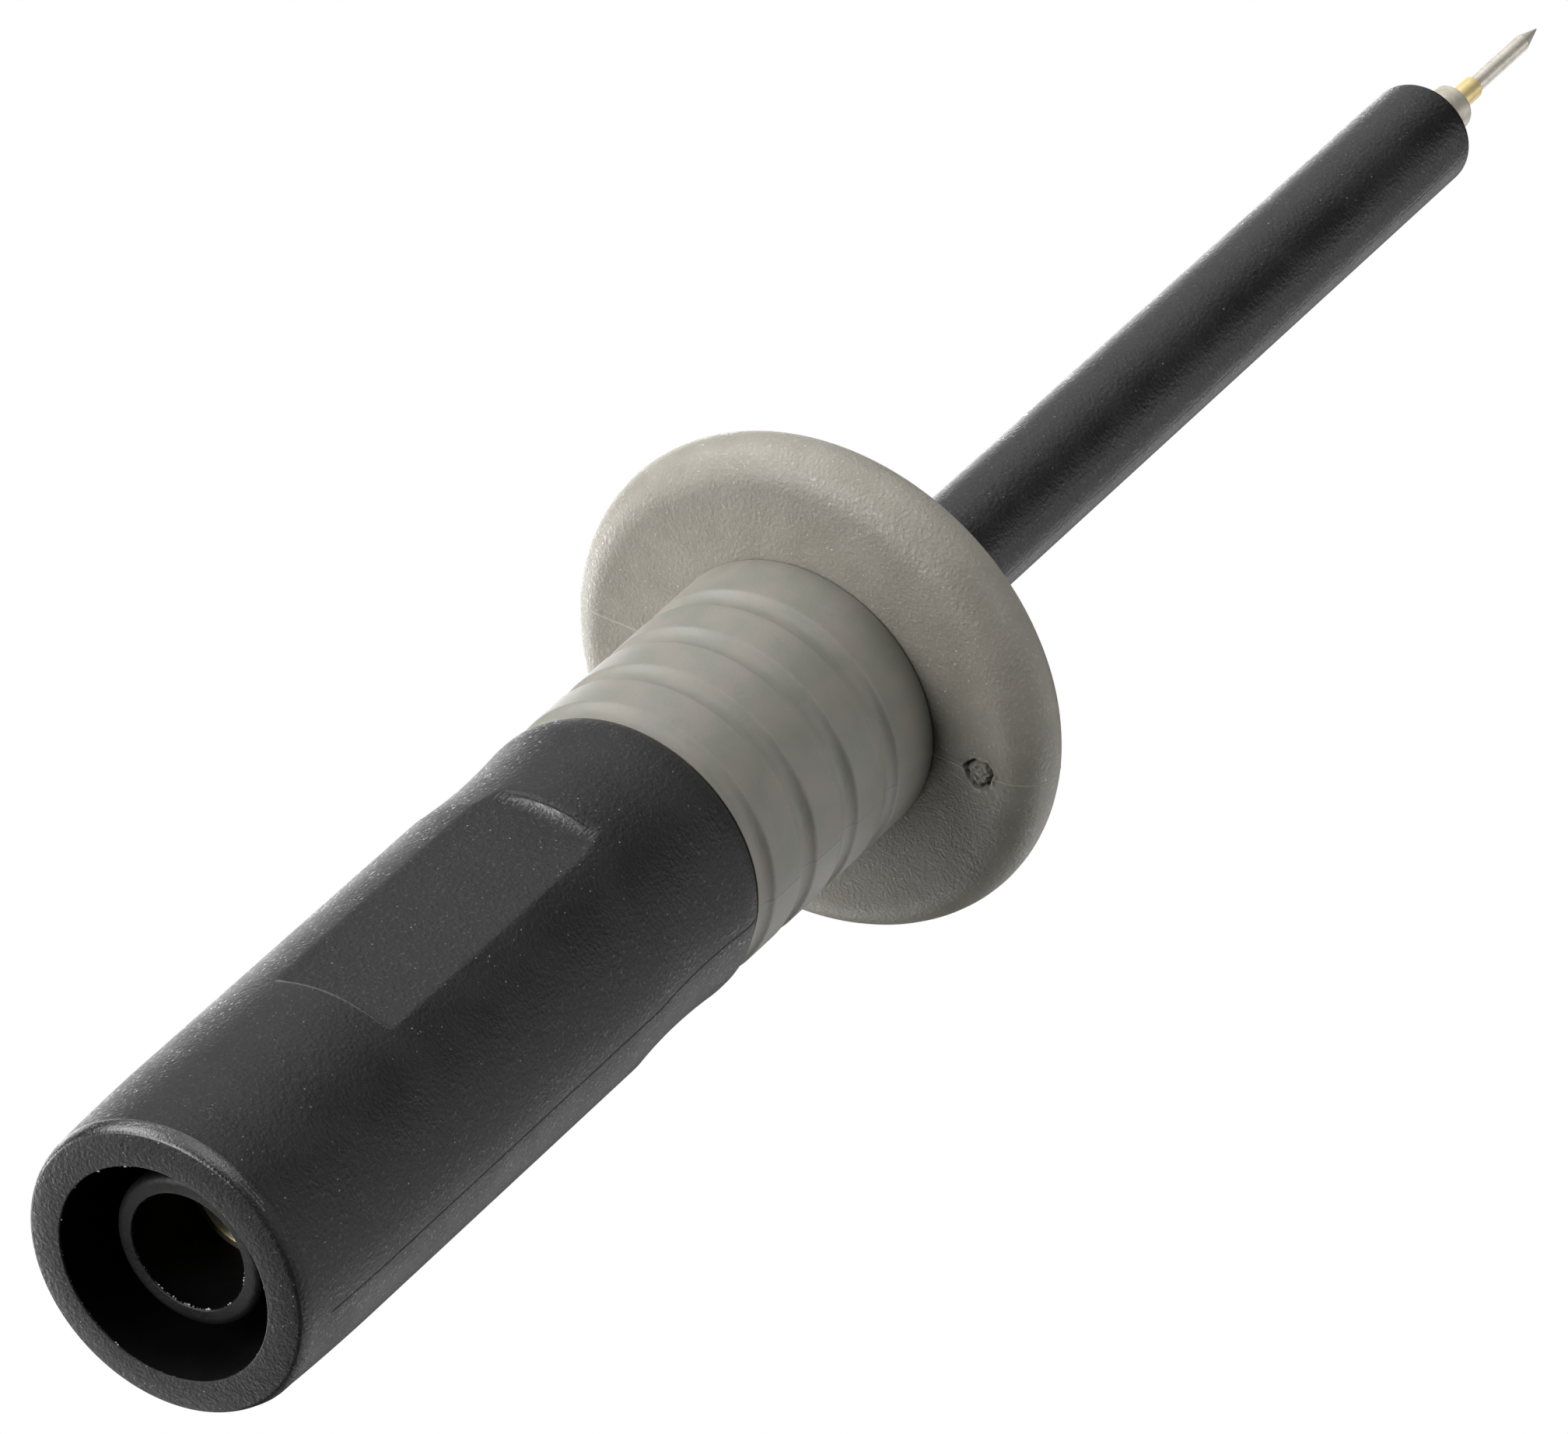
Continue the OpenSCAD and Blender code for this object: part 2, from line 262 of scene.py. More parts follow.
class SurfaceEffects:
    """Shared shader groups: sizes in millimetres, and masks, colours or heights as outputs."""

    GRAIN = "spark grain"
    SPECKS = "pale specks"
    MOTTLE = "colour mottle"
    TURNING = "turning marks"
    PARTING = "parting line"

    def build(self) -> None:
        """Builds every group once."""
        self._grain()
        self._specks()
        self._mottle()
        self._turning()
        self._parting()

    @staticmethod
    def _open(name: str, inputs: dict, *outputs: str) -> tuple:
        """Opens a group that takes a place, and gives numbers unless an output is called Color."""
        kinds = {label: "Color" if label == "Color" else "Float" for label in outputs}
        return open_group("ShaderNodeTree", name, {"Vector": "Vector", **inputs}, kinds)

    def _grain(self) -> None:
        """Fine eroded grain: rounded pits over a softer roll, with glints on its tops."""
        s, inp, out = self._open(self.GRAIN, {"Size": 0.1}, "Height", "Glint")
        place, scale = inp["Vector"], s.math("DIVIDE", 1.0, inp["Size"])
        fine = s.noise({"Vector": place, "Scale": scale, "Detail": 3.0, "Roughness": 0.62})
        spacing = {"Vector": place, "Scale": s.math("MULTIPLY", scale, 0.8)}
        pits = s.node("ShaderNodeTexVoronoi", spacing, feature="SMOOTH_F1")
        roll = s.noise({"Vector": place, "Scale": s.math("MULTIPLY", scale, 0.22), "Detail": 2.0})
        height = s.math("MULTIPLY_ADD", pits.outputs["Distance"], 0.55, fine)
        height = s.math("MULTIPLY_ADD", roll, 0.45, height)
        s.feed(out, {"Height": height, "Glint": s.ramp(fine, 0.56, 0.7, smooth=True)})

    def _specks(self) -> None:
        """Scattered pale specks of dust. Share is how many cells hold one."""
        inputs = {"Spacing": 0.7, "Size": 0.05, "Share": 0.4}
        s, inp, out = self._open(self.SPECKS, inputs, "Mask")
        scale = s.math("DIVIDE", 1.0, inp["Spacing"])
        cells = s.node("ShaderNodeTexVoronoi", {"Vector": inp["Vector"], "Scale": scale}).outputs
        luck = s.node("ShaderNodeSeparateColor", {"Color": cells["Color"]}).outputs
        chosen = s.math("LESS_THAN", luck["Red"], inp["Share"])
        reach = s.math("MULTIPLY", s.math("MULTIPLY", inp["Size"], scale), 0.5)
        reach = s.math("MULTIPLY", reach, s.math("MULTIPLY_ADD", luck["Green"], 0.9, 0.35))
        spot = s.ramp(s.math("DIVIDE", cells["Distance"], reach), 1.1, 0.6)
        strength = s.math("MULTIPLY_ADD", luck["Blue"], 0.75, 0.25)
        s.feed(out, {"Mask": s.math("MULTIPLY", s.math("MULTIPLY", spot, chosen), strength)})

    def _mottle(self) -> None:
        """Soft clouds between two tints of one colour."""
        inputs = {"Size": 3.0, "Tint A": (0.5, 0.5, 0.5, 1.0), "Tint B": (0.4, 0.4, 0.4, 1.0)}
        s, inp, out = self._open(self.MOTTLE, inputs, "Color", "Cloud")
        scale = s.math("DIVIDE", 1.0, inp["Size"])
        cloud = s.noise({"Vector": inp["Vector"], "Scale": scale, "Detail": 4.0, "Roughness": 0.55})
        spread = s.ramp(cloud, 0.36, 0.64, smooth=True)
        s.feed(out, {"Color": s.mix(spread, inp["Tint A"], inp["Tint B"]), "Cloud": spread})

    def _turning(self) -> None:
        """Fine rings of uneven depth left by turning about X, and smears over them."""
        s, inp, out = self._open(self.TURNING, {"Pitch": 0.05}, "Height", "Smear")
        along = s.node("ShaderNodeSeparateXYZ", {"Vector": inp["Vector"]}).outputs["X"]
        along = s.math("DIVIDE", along, inp["Pitch"])
        rings = s.noise({"W": along, "Scale": 1.0, "Detail": 2.0}, noise_dimensions="1D")
        smear = s.noise({"Vector": inp["Vector"], "Scale": 1.6, "Detail": 3.0})
        s.feed(out, {"Height": rings, "Smear": smear})

    def _parting(self) -> None:
        """A thin wandering line where the mould halves meet, in the XY plane."""
        s, inp, out = self._open(self.PARTING, {"Width": 0.06}, "Mask")
        across = s.node("ShaderNodeSeparateXYZ", {"Vector": inp["Vector"]}).outputs["Z"]
        wander = s.noise({"Vector": inp["Vector"], "Scale": 0.5, "Detail": 3.0})
        drift = s.math("MULTIPLY", s.math("SUBTRACT", wander, 0.5), 0.05)
        off = s.math("ABSOLUTE", s.math("ADD", across, drift))
        line = s.ramp(s.math("DIVIDE", off, inp["Width"]), 1.0, 0.2)
        s.feed(out, {"Mask": s.math("MULTIPLY", line, s.ramp(wander, 0.3, 0.5, floor=0.35))})


# ---- finishes ----


@dataclass(frozen=True)
class Finish:
    """A finish with a procedural material on object coordinates in millimetres."""

    name: str

    def material(self) -> bpy.types.Material:
        """Builds the material round what looks gives."""
        material = bpy.data.materials.new(self.name)
        material.use_nodes = True
        s = Sketch(material.node_tree)
        place = s.node("ShaderNodeTexCoord").outputs["Object"]
        to_mm = s.node("ShaderNodeMapping", {"Vector": place, "Scale": (1 / MM, 1 / MM, 1 / MM)})
        shader = s.node("ShaderNodeBsdfPrincipled", self.looks(s, to_mm.outputs["Vector"]))
        s.node("ShaderNodeOutputMaterial", {"Surface": shader.outputs["BSDF"]})
        return material

    def looks(self, s: Sketch, place: Output) -> dict:
        """Adds the finish's nodes.

        Args:
            s: The material's tree.
            place: The place on the piece, in millimetres.

        Returns:
            The Principled shader's inputs.
        """
        raise NotImplementedError

    @staticmethod
    def mottle(
        s: Sketch, place: Output, size: float, tints: Sequence[Colour]
    ) -> bpy.types.NodeOutputs:
        """Adds clouds of the given size between two tints."""
        first, second = ((*tint, 1.0) for tint in tints)
        inputs = {"Vector": place, "Size": size, "Tint A": first, "Tint B": second}
        return s.group(SurfaceEffects.MOTTLE, inputs)


@dataclass(frozen=True)
class Grain:
    """Eroded grain: its size and depth, how much smoother its tops are, and how far they are painted
    pale as a painted glint.
    """

    size: float
    depth: float
    glint: float = 0.0
    glint_paint: float = 0.0


@dataclass(frozen=True)
class Specks:
    """Dust: its colour, its spacing and size, and the share of places that hold a speck."""

    colour: Colour = (0.45, 0.43, 0.4)
    spacing: float = 0.9
    size: float = 0.07
    share: float = 0.35


@dataclass(frozen=True)
class MouldedFinish(Finish):
    """A moulded plastic or rubber surface with eroded grain, mottle, dust, painted glints on the
    grain's tops and a parting line.
    """

    tints: tuple[Colour, Colour]
    roughness: float
    grain: Grain
    specks: Specks = Specks()
    specular: float = 0.5
    mottle_size: float = 3.0
    cloud_rough: float = 0.06
    speck_height: float = 0.35
    line_colour: Colour = (0.005, 0.005, 0.005)
    line_width: float = 0.06
    line_strength: float = 0.0
    sheen: float = 0.0

    def looks(self, s: Sketch, place: Output) -> dict:
        """Adds mottle, grain, dust, painted glints and parting line, and gives the shader's inputs.
        """
        mottle = self.mottle(s, place, self.mottle_size, self.tints)
        grain = s.group(SurfaceEffects.GRAIN, {"Vector": place, "Size": self.grain.size})
        dust = self.specks
        inputs = {"Vector": place, "Spacing": dust.spacing, "Size": dust.size, "Share": dust.share}
        specks = s.group(SurfaceEffects.SPECKS, inputs)["Mask"]
        line = s.group(SurfaceEffects.PARTING, {"Vector": place, "Width": self.line_width})["Mask"]
        line = s.math("MULTIPLY", line, self.line_strength)
        colour = s.mix(line, mottle["Color"], (*self.line_colour, 1.0))
        # Pale dust specks, and the grain's tops painted pale as a painted glint.
        pale = s.math("MAXIMUM", specks, s.math("MULTIPLY", grain["Glint"], self.grain.glint_paint))
        middle = self.roughness - self.cloud_rough / 2
        rough = s.math("MULTIPLY_ADD", mottle["Cloud"], self.cloud_rough, middle)
        height = s.math("MULTIPLY_ADD", specks, self.speck_height, grain["Height"])
        return {
            "Base Color": s.mix(pale, colour, (*dust.colour, 1.0)),
            "Roughness": s.math("MULTIPLY_ADD", grain["Glint"], -self.grain.glint, rough),
            "Normal": s.bump(height, self.grain.depth),
            "Specular IOR Level": self.specular,
            "Sheen Weight": self.sheen,
        }


@dataclass(frozen=True)
class MetalFinish(Finish):
    """A turned, drawn or plated metal surface."""

    colour: Colour
    stain: Colour
    roughness: float
    pitch: float = 0.05
    depth: float = 0.002
    smudge: float = 0.12
    stain_size: float = 0.5
    metallic: float = 1.0

    def looks(self, s: Sketch, place: Output) -> dict:
        """Adds turning marks and stains, and gives the shader's inputs."""
        turning = s.group(SurfaceEffects.TURNING, {"Vector": place, "Pitch": self.pitch})
        stains = self.mottle(s, place, self.stain_size, (self.colour, self.stain))
        middle = self.roughness - self.smudge / 2
        return {
            "Base Color": stains["Color"],
            "Roughness": s.math("MULTIPLY_ADD", turning["Smear"], self.smudge, middle),
            "Normal": s.bump(turning["Height"], self.depth),
            "Metallic": self.metallic,
        }


class Finishes:
    """Every finish of the probe, each built once."""

    BLACK = MouldedFinish(
        "black_grained_plastic",
        tints=((0.0055, 0.0055, 0.006), (0.011, 0.011, 0.0115)),
        roughness=0.5,
        grain=Grain(0.15, 0.042, glint=0.36, glint_paint=0.04),
        specks=Specks((0.4, 0.39, 0.37), spacing=0.3, size=0.065, share=0.5),
        specular=0.42,
        line_strength=0.9,
    )
    # Glossier black for the lit side of the rear bevel and the panel's ends: its smoothness is real,
    # while its denser pale specks and paler grain tops are a painted highlight.
    BLACK_GLOSS_HIGHLIGHT = MouldedFinish(
        "black_glossy_painted_highlight",
        tints=((0.004, 0.004, 0.004), (0.014, 0.014, 0.014)),
        roughness=0.28,
        grain=Grain(0.09, 0.02, glint=0.16, glint_paint=0.08),
        specks=Specks((0.3, 0.29, 0.27), spacing=0.18, size=0.055, share=0.7),
        specular=1.0,
        mottle_size=0.9,
    )
    BLACK_SHAFT = MouldedFinish(
        "black_shaft_plastic",
        tints=((0.0065, 0.0065, 0.007), (0.012, 0.012, 0.0125)),
        roughness=0.4,
        grain=Grain(0.15, 0.034, glint=0.3, glint_paint=0.035),
        specks=Specks((0.4, 0.39, 0.37), spacing=0.3, size=0.06, share=0.4),
        specular=0.45,
        mottle_size=2.4,
        line_strength=0.15,
    )
    BLACK_SMOOTH = MouldedFinish(
        "black_smooth_plastic",
        tints=((0.007, 0.007, 0.0076), (0.012, 0.012, 0.0125)),
        roughness=0.5,
        grain=Grain(0.16, 0.02),
        specks=Specks((0.2, 0.195, 0.185), spacing=0.6, size=0.05, share=0.25),
    )
    # Painted shade: a darker, duller black for the faces deep in the recess and in the socket's
    # bore, where shade falls.
    BLACK_PAINTED_SHADE = MouldedFinish(
        "black_bore_painted_shade",
        tints=((0.0025, 0.0025, 0.0027), (0.004, 0.004, 0.0043)),
        roughness=0.6,
        grain=Grain(0.2, 0.01),
        specks=Specks((0.12, 0.12, 0.115), spacing=1.4, size=0.06, share=0.25),
        specular=0.1,
    )
    GREY_GUARD = MouldedFinish(
        "grey_grained_plastic",
        tints=((0.266, 0.25, 0.212), (0.298, 0.28, 0.24)),
        roughness=0.47,
        grain=Grain(0.14, 0.034, glint=0.36, glint_paint=0.26),
        specks=Specks((0.7, 0.67, 0.6), spacing=0.3, size=0.07, share=0.5),
        mottle_size=2.2,
        line_colour=(0.45, 0.44, 0.4),
        line_strength=0.5,
    )
    GREY_SLEEVE = MouldedFinish(
        "grey_soft_sleeve",
        tints=((0.22, 0.222, 0.19), (0.258, 0.238, 0.208)),
        roughness=0.5,
        grain=Grain(0.14, 0.012),
        specks=Specks((0.62, 0.6, 0.55), spacing=0.8, size=0.06, share=0.3),
        mottle_size=1.6,
        line_colour=(0.19, 0.19, 0.165),
        line_strength=0.4,
        sheen=0.05,
    )
    FLASH = MouldedFinish(
        "pale_flash",
        tints=((0.16, 0.16, 0.15), (0.7, 0.69, 0.66)),
        roughness=0.45,
        grain=Grain(0.05, 0.01),
        mottle_size=0.3,
    )
    NATURAL = MouldedFinish(
        "natural_spacer_plastic", ((0.62, 0.6, 0.53), (0.68, 0.66, 0.6)), 0.45, Grain(0.3, 0.008)
    )
    WIRE_JACKET = MouldedFinish(
        "red_wire_jacket", ((0.4, 0.02, 0.015), (0.5, 0.03, 0.02)), 0.35, Grain(0.3, 0.006)
    )
    COPPER = MetalFinish("drawn_copper", (0.72, 0.33, 0.2), (0.55, 0.24, 0.15), 0.32)
    BRASS = MetalFinish(
        "plated_brass", (0.85, 0.76, 0.54), (0.66, 0.56, 0.36), 0.3, 0.08, metallic=0.75
    )
    GOLD = MetalFinish(
        "gold_plate", (0.9, 0.74, 0.38), (0.82, 0.63, 0.28), 0.4, 0.04, metallic=0.6
    )
    NICKEL = MetalFinish(
        "satin_nickel", (0.66, 0.62, 0.53), (0.56, 0.52, 0.43), 0.42, 0.06, metallic=0.6
    )
    STEEL = MetalFinish(
        "ground_steel", (0.76, 0.72, 0.64), (0.66, 0.62, 0.54), 0.4, 0.03, metallic=0.6
    )

    def __init__(self) -> None:
        """Builds no material until a piece asks for it."""
        self._made: dict[str, bpy.types.Material] = {}

    def of(self, finish: Finish) -> bpy.types.Material:
        """Gives a finish's material, built the first time."""
        if finish.name not in self._made:
            self._made[finish.name] = finish.material()
        return self._made[finish.name]


# ---- turned meshes ----


@dataclass(frozen=True)
class Corner:
    """A corner of an outline: its station, its radius and how far it is rounded."""

    x: float
    r: float
    soft: float = 0.0


@dataclass(frozen=True)
class Skin:
    """The points or the faces' middles of a turned piece.

    Attributes:
        x: Their stations.
        r: Their radii.
        turn: Their angles about X in radians, from +Y towards +Z.
        out: The outward share of their normals, for points only.
    """

    x: np.ndarray
    r: np.ndarray
    turn: np.ndarray
    out: np.ndarray | None = None

    @property
    def z(self) -> np.ndarray:
        """Their heights over the mould's parting plane."""
        return self.r * np.sin(self.turn)


def arc_radius(run: float, sag: float) -> float:
    """Gives the radius of an arc that falls by a sag over a run from its top."""
    return (run**2 + sag**2) / (2 * sag)


def rounded(corners: Sequence[Corner], closed: bool = True) -> Outline:
    """Rounds the corners of an outline with arcs.

    Args:
        corners: The corners in order.
        closed: Whether the last corner joins the first.

    Returns:
        The points of the outline.
    """
    points: Outline = []
    count = len(corners)
    for i, corner in enumerate(corners):
        inner = closed or 0 < i < count - 1
        if corner.soft <= 0 or not inner:
            points.append((corner.x, corner.r))
            continue
        here = np.array([corner.x, corner.r])
        before, after = corners[i - 1], corners[(i + 1) % count]
        back = np.array([before.x, before.r]) - here
        ahead = np.array([after.x, after.r]) - here
        back /= np.linalg.norm(back)
        ahead /= np.linalg.norm(ahead)
        half = math.acos(float(np.clip(back @ ahead, -1, 1))) / 2
        reach = corner.soft / math.tan(half)
        middle = back + ahead
        centre = here + middle / np.linalg.norm(middle) * corner.soft / math.sin(half)
        start = here + back * reach - centre
        sweep = math.pi - 2 * half
        turn = math.copysign(sweep, float(np.cross(start, here + ahead * reach - centre)))
        steps = max(4, round(math.degrees(sweep) / 9))
        for k in range(steps + 1):
            c, d = math.cos(turn * k / steps), math.sin(turn * k / steps)
            points.append(
                (centre[0] + c * start[0] - d * start[1], centre[1] + d * start[0] + c * start[1])
            )
    return points


def finer(outline: Outline, pitch: Callable[[float, float], float]) -> Outline:
    """Adds points along the straight runs of a closed outline.

    Args:
        outline: The points.
        pitch: Gives the longest step wanted at a station and radius.

    Returns:
        The denser outline.
    """
    points: Outline = []
    for (x0, r0), (x1, r1) in zip(outline, outline[1:] + outline[:1]):
        length = math.hypot(x1 - x0, r1 - r0)
        x, r, done = x0, r0, 0.0
        while True:
            points.append((x, r))
            step = pitch(x, r)
            done += step
            if done > length - 0.5 * step:
                break
            x, r = x0 + (x1 - x0) * (done / length), r0 + (r1 - r0) * (done / length)
    return points


def even_angles(count: int, extra: Sequence[Stretch] = ()) -> np.ndarray:
    """Angles round the axis, with closer steps where detail lies.

    Args:
        count: How many even steps.
        extra: The finer stretches.

    Returns:
        The sorted angles in radians, from 0 to a full turn, with the last left out.
    """
    closest = 0.05
    angles = [360.0 * i / count for i in range(count)]
    for centre, half, step in extra:
        angles += list(np.arange(centre - half, centre + half + step / 2, step) % 360.0)
    angles = sorted({round(a, 4) % 360.0 for a in angles})
    kept = [angles[0]]
    for a in angles[1:]:
        if a - kept[-1] > closest:
            kept.append(a)
    return np.radians(kept)


def turned_mesh(
    name: str,
    outline: Outline,
    angles: np.ndarray,
    relief: Callable[[Skin], np.ndarray] | None = None,
    closed: bool = True,
) -> bpy.types.Mesh:
    """Turns an outline round the X axis.

    Args:
        name: The mesh's name.
        outline: Stations and radii in millimetres. An open one begins and ends on the axis.
        angles: The angles of the columns. 0 is +Y and 90 degrees is +Z.
        relief: Gives how far each point moves along the outline's normal, in millimetres.
        closed: Whether the outline is a closed loop.

    Returns:
        The mesh, in metres, with outward faces.
    """
    pts = np.array(outline, float)
    nxt, prv = np.roll(pts, -1, axis=0), np.roll(pts, 1, axis=0)
    if not closed:
        nxt[-1], prv[0] = pts[-1], pts[0]
    along = nxt - prv
    along /= np.maximum(np.linalg.norm(along, axis=1, keepdims=True), 1e-9)
    area = float(np.sum(pts[:, 0] * nxt[:, 1] - nxt[:, 0] * pts[:, 1]))
    normal = np.stack([along[:, 1], -along[:, 0]], axis=1) * (1.0 if area > 0 else -1.0)
    rows, columns = len(pts), len(angles)
    x, r, out = (
        np.repeat(v[:, None], columns, axis=1) for v in (pts[:, 0], pts[:, 1], normal[:, 1])
    )
    turn = np.repeat(angles[None, :], rows, axis=0)
    if relief is not None:
        push = relief(Skin(x, r, turn, out))
        x, r = x + push * normal[:, :1], r + push * normal[:, 1:]
    co = np.stack([x, r * np.cos(turn), r * np.sin(turn)], axis=-1).reshape(-1, 3) * MM
    index = np.arange(rows * columns).reshape(rows, columns)
    if not closed:
        co = co[[0, *range(columns, (rows - 1) * columns + 1)]]
        index = np.maximum(index - columns + 1, 0)
        index[-1] = index[-1, 0]
    faces: list[list[int]] = []
    for i in range(rows if closed else rows - 1):
        a, b = index[i], index[(i + 1) % rows]
        quads = np.stack([a, np.roll(a, -1), np.roll(b, -1), b], axis=1)
        if not closed and i == 0:
            quads = quads[:, [0, 2, 3]]
        elif not closed and i == rows - 2:
            quads = quads[:, :3]
        faces += quads.tolist()
    mesh = bpy.data.meshes.new(name)
    mesh.from_pydata(co.tolist(), [], faces)
    face_outward(mesh)
    mesh.shade_smooth()
    mesh.set_sharp_from_angle(angle=SHARP)
    return mesh


def face_outward(mesh: bpy.types.Mesh) -> None:
    """Flips a closed mesh whose faces point inwards, which its volume's sign tells."""
    mesh.calc_loop_triangles()
    co = np.zeros(len(mesh.vertices) * 3)
    mesh.vertices.foreach_get("co", co)
    tri = np.zeros(len(mesh.loop_triangles) * 3, int)
    mesh.loop_triangles.foreach_get("vertices", tri)
    a, b, c = (co.reshape(-1, 3)[tri.reshape(-1, 3)[:, k]] for k in range(3))
    if np.einsum("ij,ij->i", a, np.cross(b, c)).sum() < 0:
        mesh.flip_normals()


def place(mesh: bpy.types.Mesh, material: bpy.types.Material) -> bpy.types.Object:
    """Puts a finished mesh in the scene at the origin, as an object of the same name.

    Args:
        mesh: The mesh, in the row frame.
        material: Its finish.

    Returns:
        The new object.
    """
    mesh.materials.clear()
    mesh.materials.append(material)
    piece = bpy.data.objects.new(mesh.name, mesh)
    bpy.context.scene.collection.objects.link(piece)
    return piece


def refinish(
    piece: bpy.types.Object, material: bpy.types.Material, chosen: Callable[[Skin], np.ndarray]
) -> None:
    """Gives some of a piece's faces another finish.

    Args:
        piece: The piece.
        material: The other finish's material.
        chosen: Tells which faces are meant.
    """
    mesh = piece.data
    mesh.materials.append(material)
    slots = np.zeros(len(mesh.polygons), np.int32)
    mesh.polygons.foreach_get("material_index", slots)
    middle = np.zeros(len(mesh.polygons) * 3)
    mesh.polygons.foreach_get("center", middle)
    x, y, z = middle.reshape(-1, 3).T / MM
    slots[chosen(Skin(x, np.hypot(y, z), np.arctan2(z, y)))] = len(mesh.materials) - 1
    mesh.polygons.foreach_set("material_index", slots)


def settle(piece: bpy.types.Object, body: Body, slot: Slot, *nodes: str) -> None:
    """Lets a piece ride on its body and stand for its solids.

    Args:
        piece: The piece.
        body: What it rides on.
        slot: The record's slot; not used.
        *nodes: The solids it replaces.
    """
    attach(piece, body.value)
    if nodes:
        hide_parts(*nodes)
    LOG.info("%s: %d faces on %s", piece.name, len(piece.data.polygons), body.value)


# ---- shapes by rule ----


def baked(
    name: str, tree: bpy.types.NodeTree, values: dict, source: bpy.types.Mesh | None = None
) -> bpy.types.Mesh:
    """Runs a Geometry Nodes tree and gives its result as a plain mesh.

    Args:
        name: The mesh's name.
        tree: The tree.
        values: The tree's input names with their values.
        source: The mesh that the tree starts from, or none.

    Returns:
        The plain mesh.
    """
    spare = name + "_source"
    holder = bpy.data.objects.new(spare, source or bpy.data.meshes.new(spare))
    bpy.context.scene.collection.objects.link(holder)
    modifier = holder.modifiers.new("shape", "NODES")
    modifier.node_group = tree
    for item in tree.interface.items_tree:
        if item.item_type == "SOCKET" and item.in_out == "INPUT" and item.name in values:
            modifier[item.identifier] = values[item.name]
    bpy.context.view_layer.update()
    graph = bpy.context.evaluated_depsgraph_get()
    result = bpy.data.meshes.new_from_object(holder.evaluated_get(graph))
    result.name = name
    holder.modifiers.clear()
    bpy.data.objects.remove(holder)
    return result


